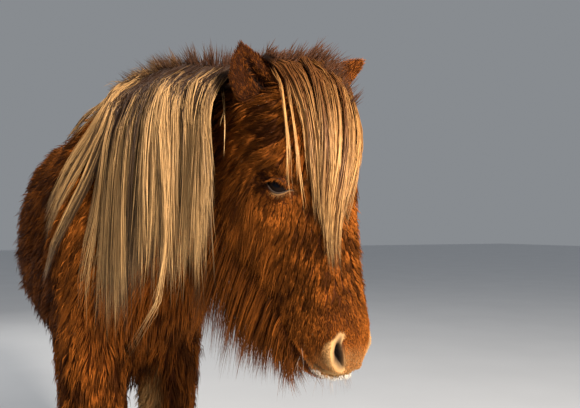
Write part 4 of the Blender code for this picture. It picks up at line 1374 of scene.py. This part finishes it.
# feelers on the lips and chin, and the pale fringe of the upper lip, in shares of the way along the mouth
whiskerSettings = {
    "feeler": {"count": 70, "start": 0.2, "shift": (-0.020, 0.012), "length": (0.015, 0.036),
               "radius": 0.00028, "pale": (0.1, 0.6)},
    "frost": {"count": 520, "start": 0.52, "shift": (-0.014, -0.002), "length": (0.004, 0.009),
              "radius": 0.00036, "pale": (0.6, 1.0)},
}


def makeWhiskers(seed):
    rng = np.random.default_rng(seed)
    paths, fats, hints, shades, places = [], [], [], [], []
    t = np.linspace(0, 1, 5)
    rows = np.array(mouthPath)
    for settings in whiskerSettings.values():
        for _ in range(settings["count"]):
            side = rng.choice((-1, 1))
            share = rng.uniform(settings["start"], 1.0) * (len(rows) - 1)
            down, back, left = (np.interp(share, np.arange(len(rows)), rows[:, k]) for k in range(3))
            shift = rng.uniform(*settings["shift"])
            place = headPoint(down - abs(shift) * 0.1, back + shift, side * left)
            surface, normal = skinTree.find_nearest(place)[:2]
            length = rng.uniform(*settings["length"])
            heading = (normal * 0.7 + headDown * 0.7 + headBack * rng.uniform(-0.3, 0.4)
                       + headLeft * rng.normal(0, 0.3)).normalized()
            path = np.array(surface)[None] + np.array(heading)[None] * (length * t)[:, None]
            path[:, 2] -= length * 0.25 * t ** 2
            paths.append(path)
            fats.append(settings["radius"] * (1 - 0.75 * t))
            hints.append(np.array(normal))
            shades.append((rng.uniform(0, 1), 0.9, rng.uniform(*settings["pale"])))
            along = (share + rng.uniform(0, 0.1)) / len(rows)
            places.append((along, 0.5 + side * 0.2 + rng.uniform(-0.1, 0.1)))
    return strandMesh("whiskers", np.array(paths), np.array(fats), np.array(hints), np.array(shades),
                      np.clip(places, 0.01, 0.99), coatPatch)


whiskers = makeWhiskers(95)


# Eyes, lids and lashes

# the bulge of the cornea and where it begins, and the half width and height of the pupil, in eye radii
eyeball = {"cornea": 0.05, "corneaEdge": 0.62, "pupil": (0.36, 0.20)}
lidSettings = {"steps": 26, "over": 0.0012, "thin": 0.0008, "upper": 0.0010, "lower": 0.0003}
lashSettings = {"count": 150, "steps": 60, "over": 0.0020, "length": (0.006, 0.0115), "radius": 0.00042,
                "tone": 0.22}


def sideName(name, side):
    return f"{name}_left" if side > 0 else f"{name}_right"


def makeEye(side):
    bm = bmesh.new()
    bmesh.ops.create_uvsphere(bm, u_segments=48, v_segments=32, radius=1)
    out, fore, up = eyeFrame(side)
    turn = Matrix((fore, up, out)).transposed()
    for vert in bm.verts:
        bulge = 1 + eyeball["cornea"] * max(0, vert.co.z - eyeball["corneaEdge"])
        vert.co = eyeCentre(side) + turn @ (vert.co * (eyeRadius * bulge))
    item = fromBmesh(sideName("eyeball", side), bm)
    toward = unit(verticesOf(item.data) - np.array(eyeCentre(side)))
    wide, tall = toward @ np.array(fore), toward @ np.array(up)
    pupil = np.hypot(wide / eyeball["pupil"][0], tall / eyeball["pupil"][1])
    values = np.ones((len(toward), 4))
    values[:, 0] = np.clip(pupil / 4, 0, 1)
    values[:, 1] = np.arctan2(tall, wide) / (2 * math.pi) + 0.5
    setColours(item.data, values, "iris")
    return item


def lidCurve(side, upper, steps, over):
    # along the edge of a lid, from the back corner to the front one
    out, fore, up = eyeFrame(side)
    line = []
    for step in range(steps + 1):
        share = mix(-1.03, 1.03, step / steps)
        height = float(lidHeight(share, upper)) * (1 if upper else -1)
        aside, above = math.radians(share * eyeShape["halfWidth"]), math.radians(height)
        toward = (out + fore * math.tan(aside) + up * math.tan(above)).normalized()
        line.append(eyeCentre(side) + toward * (eyeRadius + over))
    return line


def tube(bm, line, radii, sides=8):
    # rings carried along a line, bridged, and closed at both ends
    last = None
    for number, place in enumerate(line):
        ahead = (line[min(number + 1, len(line) - 1)] - line[max(number - 1, 0)]).normalized()
        turn = ahead.to_track_quat("Z", "Y").to_matrix().to_4x4()
        ring = bmesh.ops.create_circle(bm, segments=sides, radius=radii[number])["verts"]
        bmesh.ops.transform(bm, matrix=Matrix.Translation(place) @ turn, verts=ring)
        edges = list({edge for vert in ring for edge in vert.link_edges if edge.other_vert(vert) in ring})
        if last:
            bmesh.ops.bridge_loops(bm, edges=last + edges)
        else:
            bmesh.ops.contextual_create(bm, geom=ring)
        last = edges
    bmesh.ops.contextual_create(bm, geom=ring)


def makeLids(side):
    bm = bmesh.new()
    steps, thin = lidSettings["steps"], lidSettings["thin"]
    for upper, name in ((True, "upper"), (False, "lower")):
        thicker = lidSettings[name]
        radii = [thin + thicker * math.sin(math.pi * k / steps) for k in range(steps + 1)]
        tube(bm, lidCurve(side, upper, steps, lidSettings["over"]), radii)
    item = fromBmesh(sideName("lid_rims", side), bm)
    points = verticesOf(item.data) - np.array(eyeCentre(side))
    lower = smooth(0.001, -0.004, points @ np.array(eyeFrame(side)[2]))
    setColours(item.data, np.repeat(lower[:, None], 4, 1), "lid")
    return item


def makeLashes(side, seed):
    rng = np.random.default_rng(seed)
    out, fore, up = eyeFrame(side)
    count, steps = lashSettings["count"], lashSettings["steps"]
    t = np.linspace(0, 1, 5)
    paths, radii = [], []
    line = lidCurve(side, True, steps, lashSettings["over"])
    for _ in range(count):
        share = rng.uniform(0.12, 0.88) * steps
        root = mix(line[int(share)], line[int(share) + 1], share % 1) + up * rng.uniform(-0.0005, 0.0015)
        length = rng.uniform(*lashSettings["length"])
        fan = (share / steps - 0.5) * 0.7       # the outer lashes spread apart
        heading = out * 0.60 - up * rng.uniform(0.55, 1.0) + fore * fan + fore * rng.normal(0, 0.15)
        path = np.array(root)[None] + np.array(heading.normalized())[None] * (length * t)[:, None]
        paths.append(path + np.array(out)[None] * (0.0016 * t ** 2)[:, None])
        radii.append(lashSettings["radius"] * (1 - 0.8 * t))
    shades = np.stack([rng.uniform(0, 1, count), np.full(count, lashSettings["tone"]), np.zeros(count)], 1)
    places = rng.uniform(0.05, 0.95, (count, 2))
    return strandMesh(sideName("lashes", side), np.array(paths), np.array(radii),
                      np.tile(np.array(out), (count, 1)), shades, places, coatPatch)


eyes = {side: makeEye(side) for side in (-1, 1)}
lids = {side: makeLids(side) for side in (-1, 1)}
lashes = {side: makeLashes(side, 91 + side) for side in (-1, 1)}
print("eyes done")


# Materials

class Wire:
    # one socket of a material, with the sums the materials use
    def __init__(self, tree, socket=None):
        self.tree = tree
        self.socket = socket

    def node(self, kind, settings=None, inputs=None, output=0):
        made = self.tree.nodes.new(kind)
        for key, value in (settings or {}).items():
            setattr(made, key, value)
        for key, value in (inputs or {}).items():
            if isinstance(value, Wire):
                self.tree.links.new(value.socket, made.inputs[key])
            else:
                made.inputs[key].default_value = value
        return Wire(self.tree, made.outputs[output]) if made.outputs else None

    def math(self, operation, first, second):
        return self.node("ShaderNodeMath", {"operation": operation}, {0: first, 1: second})

    def __add__(self, other):
        return self.math("ADD", self, other)

    def __radd__(self, other):
        return self.math("ADD", other, self)

    def __sub__(self, other):
        return self.math("SUBTRACT", self, other)

    def __rsub__(self, other):
        return self.math("SUBTRACT", other, self)

    def __mul__(self, other):
        return self.math("MULTIPLY", self, other)

    def __rmul__(self, other):
        return self.math("MULTIPLY", other, self)

    def __pow__(self, other):
        return self.math("POWER", self, other)

    def limited(self):
        return self.node("ShaderNodeClamp", {}, {"Value": self})

    def blend(self, first, second):
        # this value mixes two colours
        first = first if isinstance(first, Wire) else (*first, 1)
        second = second if isinstance(second, Wire) else (*second, 1)
        return self.node("ShaderNodeMix", {"data_type": "RGBA"}, {0: self, 6: first, 7: second}, 2)


def newMaterial(name):
    made = bpy.data.materials.new(name)
    made.use_nodes = True
    made.node_tree.nodes.clear()
    return made, Wire(made.node_tree)


def finish(start, look, colour, inputs=None):
    given = {"Base Color": colour, "Roughness": look["roughness"],
             "Specular IOR Level": look.get("shine", 0.5)}
    shader = start.node("ShaderNodeBsdfPrincipled", {}, given | (inputs or {}))
    start.node("ShaderNodeOutputMaterial", {}, {"Surface": shader})


def objectPlace(start):
    return start.node("ShaderNodeTexCoord", {}, {}, 3)


def stretched(start, scale):
    return start.node("ShaderNodeMapping", {}, {"Vector": objectPlace(start), "Scale": scale})


def noise(start, place, scale, detail=2.0):
    return start.node("ShaderNodeTexNoise", {}, {"Vector": place, "Scale": scale, "Detail": detail})


def bump(start, height, strength, distance):
    return start.node("ShaderNodeBump", {}, {"Strength": strength, "Distance": distance, "Height": height})


def storedValues(start, name="hair"):
    # the four values stored with each point
    colour = start.node("ShaderNodeAttribute", {"attribute_name": name}, {}, 0)
    last = Wire(start.tree, colour.socket.node.outputs["Alpha"])
    parts = [start.node("ShaderNodeSeparateColor", {}, {0: colour}, k) for k in range(3)]
    return (*parts, last)


# root: painted shade between the hairs
chestnut = {"root": (0.008, 0.0022, 0.0007), "dark": (0.034, 0.0085, 0.0016),
            "light": (0.345, 0.092, 0.012), "tip": (0.520, 0.160, 0.022), "pale": (0.700, 0.400, 0.150),
            "roughness": 0.60, "shine": 0.05}


def chestnutHair():
    made, start = newMaterial("chestnut_hair")
    along, seed, tone, pale = storedValues(start)
    amount = (tone * 1.15 + seed * 0.92 - 0.51).limited()
    body = amount.blend(chestnut["dark"], chestnut["light"])
    body = (along ** 1.6 * (seed * 0.30 + tone * 0.50)).limited().blend(body, chestnut["tip"])
    # dark roots: painted shade between the hairs
    colour = (along * 2.4 + 0.1).limited().blend(chestnut["root"], body)
    colour = (pale * (along * 0.45 + 0.6)).limited().blend(colour, chestnut["pale"])
    finish(start, chestnut, colour)
    return made


# the dark and light streaks, the brown at the roots, partly painted shade, and how far down it reaches
flaxen = {
    "mane": {"dark": (0.038, 0.018, 0.008), "light": (0.560, 0.310, 0.118), "root": (0.035, 0.015, 0.007),
             "reach": 0.16},
    "forelock": {"dark": (0.120, 0.042, 0.011), "light": (0.520, 0.250, 0.074),
                 "root": (0.130, 0.046, 0.011), "reach": 0.36},
    "tip": (0.640, 0.380, 0.150), "roughness": 0.42, "shine": 0.25,
}


def flaxenHair(name, kind):
    made, start = newMaterial(name)
    shades = flaxen[kind]
    along, seed, tone, late = storedValues(start)
    amount = (tone * 1.20 + seed * 0.95 - 0.58).limited()
    body = amount.blend(shades["dark"], shades["light"])
    body = (along ** 2.0 * tone * 0.6).limited().blend(body, flaxen["tip"])
    grown = (along - late * 0.35) * (1 / shades["reach"]) - seed * 0.3
    colour = grown.limited().blend(shades["root"], body)
    finish(start, flaxen, colour)
    return made


whiskerColours = {"brown": (0.120, 0.040, 0.010), "frost": (0.720, 0.660, 0.560), "roughness": 0.50,
                  "shine": 0.15}


def whiskerHair():
    made, start = newMaterial("whisker_hair")
    _, seed, _, pale = storedValues(start)
    frosted = (pale * 1.6 - 0.5 + seed * 0.3).limited()
    colour = frosted.blend(whiskerColours["brown"], whiskerColours["frost"])
    finish(start, whiskerColours, colour)
    return made


crestColours = {"dark": (0.010, 0.004, 0.002), "light": (0.080, 0.026, 0.009), "tip": (0.110, 0.040, 0.014),
                "pale": (0.400, 0.205, 0.075), "roughness": 0.50, "shine": 0.15}


def bristleHair():
    made, start = newMaterial("crest_hair")
    along, seed, tone, pale = storedValues(start)
    body = (tone + seed * 0.4 - 0.1).limited().blend(crestColours["dark"], crestColours["light"])
    colour = (along * 0.5).limited().blend(body, crestColours["tip"])
    colour = (pale * (along * 0.7 + 0.2)).limited().blend(colour, crestColours["pale"])
    finish(start, crestColours, colour)
    return made


# the ear colour is painted shade in the ear's opening
hide = {"dark": (0.016, 0.004, 0.0012), "light": (0.110, 0.026, 0.004), "bare": (0.030, 0.022, 0.018),
        "pale": (0.580, 0.330, 0.130), "ear": (0.010, 0.004, 0.002), "pores": 900.0, "patches": 60.0,
        "roughness": 0.75, "bareRoughness": 0.40, "shine": 0.06}


def hideSkin():
    made, start = newMaterial("hide")
    bare, tone, pale, ear = storedValues(start)
    place = objectPlace(start)
    fine, broad = noise(start, place, hide["pores"], 3.0), noise(start, place, hide["patches"])
    colour = (tone * 0.8 + broad * 0.3 - 0.1).limited().blend(hide["dark"], hide["light"])
    colour = (pale * (fine * 0.5 + 0.7)).limited().blend(colour, hide["pale"])
    # painted shade in the ear's opening
    colour = ear.blend(colour, hide["ear"])
    colour = bare.blend(colour, hide["bare"])
    rough = hide["roughness"] - bare * (hide["roughness"] - hide["bareRoughness"])
    finish(start, hide, colour, {"Roughness": rough, "Normal": bump(start, fine, 0.25, 0.0006)})
    return made


eyeColours = {"pupil": (0.002, 0.002, 0.003), "irisDark": (0.004, 0.002, 0.0015),
              "irisLight": (0.010, 0.005, 0.003), "white": (0.008, 0.005, 0.004), "roughness": 0.06,
              "shine": 0.035}


def eyeGlaze():
    made, start = newMaterial("eye_glaze")
    pupil, turn, _, _ = storedValues(start, "iris")
    rays = start.node("ShaderNodeTexNoise", {"noise_dimensions": "1D"},
                      {"W": turn * 60.0, "Scale": 3.0, "Detail": 2.0})
    iris = rays.blend(eyeColours["irisDark"], eyeColours["irisLight"])
    colour = (4.0 - pupil * 16.0).limited().blend(iris, eyeColours["pupil"])
    colour = (pupil * 14.0 - 9.0).limited().blend(colour, eyeColours["white"])
    finish(start, eyeColours, colour)
    return made


lidColours = {"dark": (0.008, 0.006, 0.006), "light": (0.026, 0.015, 0.012), "lower": (0.055, 0.034, 0.024),
              "pores": 1500.0, "roughness": 0.5, "shine": 0.1}


def lidSkin():
    made, start = newMaterial("lid_skin")
    fine = noise(start, objectPlace(start), lidColours["pores"])
    lower = storedValues(start, "lid")[0]
    colour = fine.blend(lidColours["dark"], lidColours["light"])
    colour = (lower * (fine * 0.6 + 0.4)).limited().blend(colour, lidColours["lower"])
    finish(start, lidColours, colour, {"Normal": bump(start, fine, 0.3, 0.0004)})
    return made


# rings run round the hoof and grain runs down it
horn = {"dark": (0.035, 0.026, 0.022), "light": (0.190, 0.140, 0.100), "worn": (0.260, 0.210, 0.160),
        "rings": (4.0, 4.0, 160.0), "grain": (420.0, 420.0, 12.0), "roughness": 0.48}


def hoofHorn():
    made, start = newMaterial("hoof_horn")
    rings = noise(start, stretched(start, horn["rings"]), 1.0, 3.0)
    grain = noise(start, stretched(start, horn["grain"]), 1.0, 3.0)
    height = start.node("ShaderNodeSeparateXYZ", {}, {0: objectPlace(start)}, 2)
    colour = (rings * 0.9 + grain * 0.5 - 0.2).limited().blend(horn["dark"], horn["light"])
    colour = (1.0 - height * 60.0).limited().blend(colour, horn["worn"])
    finish(start, horn, colour, {"Normal": bump(start, rings + grain * 0.3, 0.5, 0.0015)})
    return made


coatHair = chestnutHair()
maneHair = flaxenHair("flaxen_hair", "mane")
lidHide, glaze = lidSkin(), eyeGlaze()
# the material and the slot of each piece
looks = {
    skin: (hideSkin(), "coat"),
    maneUnder: (maneHair, "flaxen"),
    maneOver: (maneHair, "flaxen"),
    forelock: (flaxenHair("forelock_golden", "forelock"), "flaxen"),
    tail: (maneHair, "flaxen"),
    beard: (coatHair, "coat"),
    bristles: (bristleHair(), "flaxen"),
    whiskers: (whiskerHair(), "coat"),
}
for item in coatPieces:
    looks[item] = (coatHair, "coat")
for side in (-1, 1):
    looks[eyes[side]] = (glaze, "eye")
    looks[lids[side]] = (lidHide, "coat")
    looks[lashes[side]] = (coatHair, "coat")


def dress(item, material):
    item.data.materials.clear()
    item.data.materials.append(material)


for item, (material, slotName) in looks.items():
    dress(item, material)
    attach(item, "root")
hoofMaterial = hoofHorn()
for leg in legNames:
    dress(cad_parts[f"{leg}_hoof"], hoofMaterial)

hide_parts(*fleshNodes)
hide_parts("eye_right")
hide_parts("eye_left")
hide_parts("mane")
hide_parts("mane")
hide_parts("forelock")
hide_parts("beard")
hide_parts("tail")
print("materials done")


# Floor, light and camera

floor = {"size": 30, "dark": (0.66, 0.67, 0.69), "light": (0.74, 0.75, 0.77), "roughness": 0.85}


def makeFloor():
    bm = bmesh.new()
    bmesh.ops.create_grid(bm, x_segments=1, y_segments=1, size=floor["size"])
    item = fromBmesh("floor", bm)
    if item.data.polygons[0].normal.z < 0:
        item.data.flip_normals()
    made, start = newMaterial("pale_floor")
    cloud = noise(start, objectPlace(start), 1.5, 4.0)
    finish(start, floor, cloud.blend(floor["dark"], floor["light"]))
    item.data.materials.append(made)


# place, what it points at, width, watts, colour
lights = {
    "key": ((0.82, -5.19, 3.27), (0.05, -0.8, 1.0), 0.9, 690, (1.0, 0.92, 0.82)),
    "fill": ((-3.6, -3.0, 1.6), (0.0, -0.5, 1.0), 3.0, 6, (0.92, 0.96, 1.0)),
    "back": ((-1.5, 4.5, 3.4), (0.0, 0.2, 1.1), 2.5, 80, (1.0, 0.97, 0.92)),
}
sky = {"colour": (0.82, 0.87, 0.93, 1), "strength": 0.30}


def makeLights():
    for name, (place, target, size, watts, colour) in lights.items():
        lamp = bpy.data.lights.new(name, "AREA")
        lamp.shape = "DISK"
        lamp.size = size
        lamp.energy = watts
        lamp.color = colour
        item = addObject(name, lamp)
        item.location = place
        item.rotation_euler = (Vector(target) - Vector(place)).to_track_quat("-Z", "Y").to_euler()
    world = bpy.data.worlds.new("studio")
    world.use_nodes = True
    shade = world.node_tree.nodes["Background"]
    shade.inputs["Color"].default_value = sky["colour"]
    shade.inputs["Strength"].default_value = sky["strength"]
    bpy.context.scene.world = world
    bpy.context.scene.view_settings.view_transform = "Standard"


# turn to the right and tilt upward in degrees
camera = {"place": (-0.347, -1.945, 1.03), "turn": -25.0, "tilt": 2.18, "lens": 39.1, "sensor": 36}


def makeCamera():
    item = addObject("camera", bpy.data.cameras.new("camera"))
    item.location = camera["place"]
    item.rotation_euler = (math.radians(90 + camera["tilt"]), 0, math.radians(camera["turn"]))
    item.data.lens = camera["lens"]
    item.data.sensor_width = camera["sensor"]
    item.data.clip_start = 0.05
    bpy.context.scene.camera = item


makeFloor()
makeLights()
makeCamera()
print("triangles:", sum(len(item.data.polygons) for item in looks))
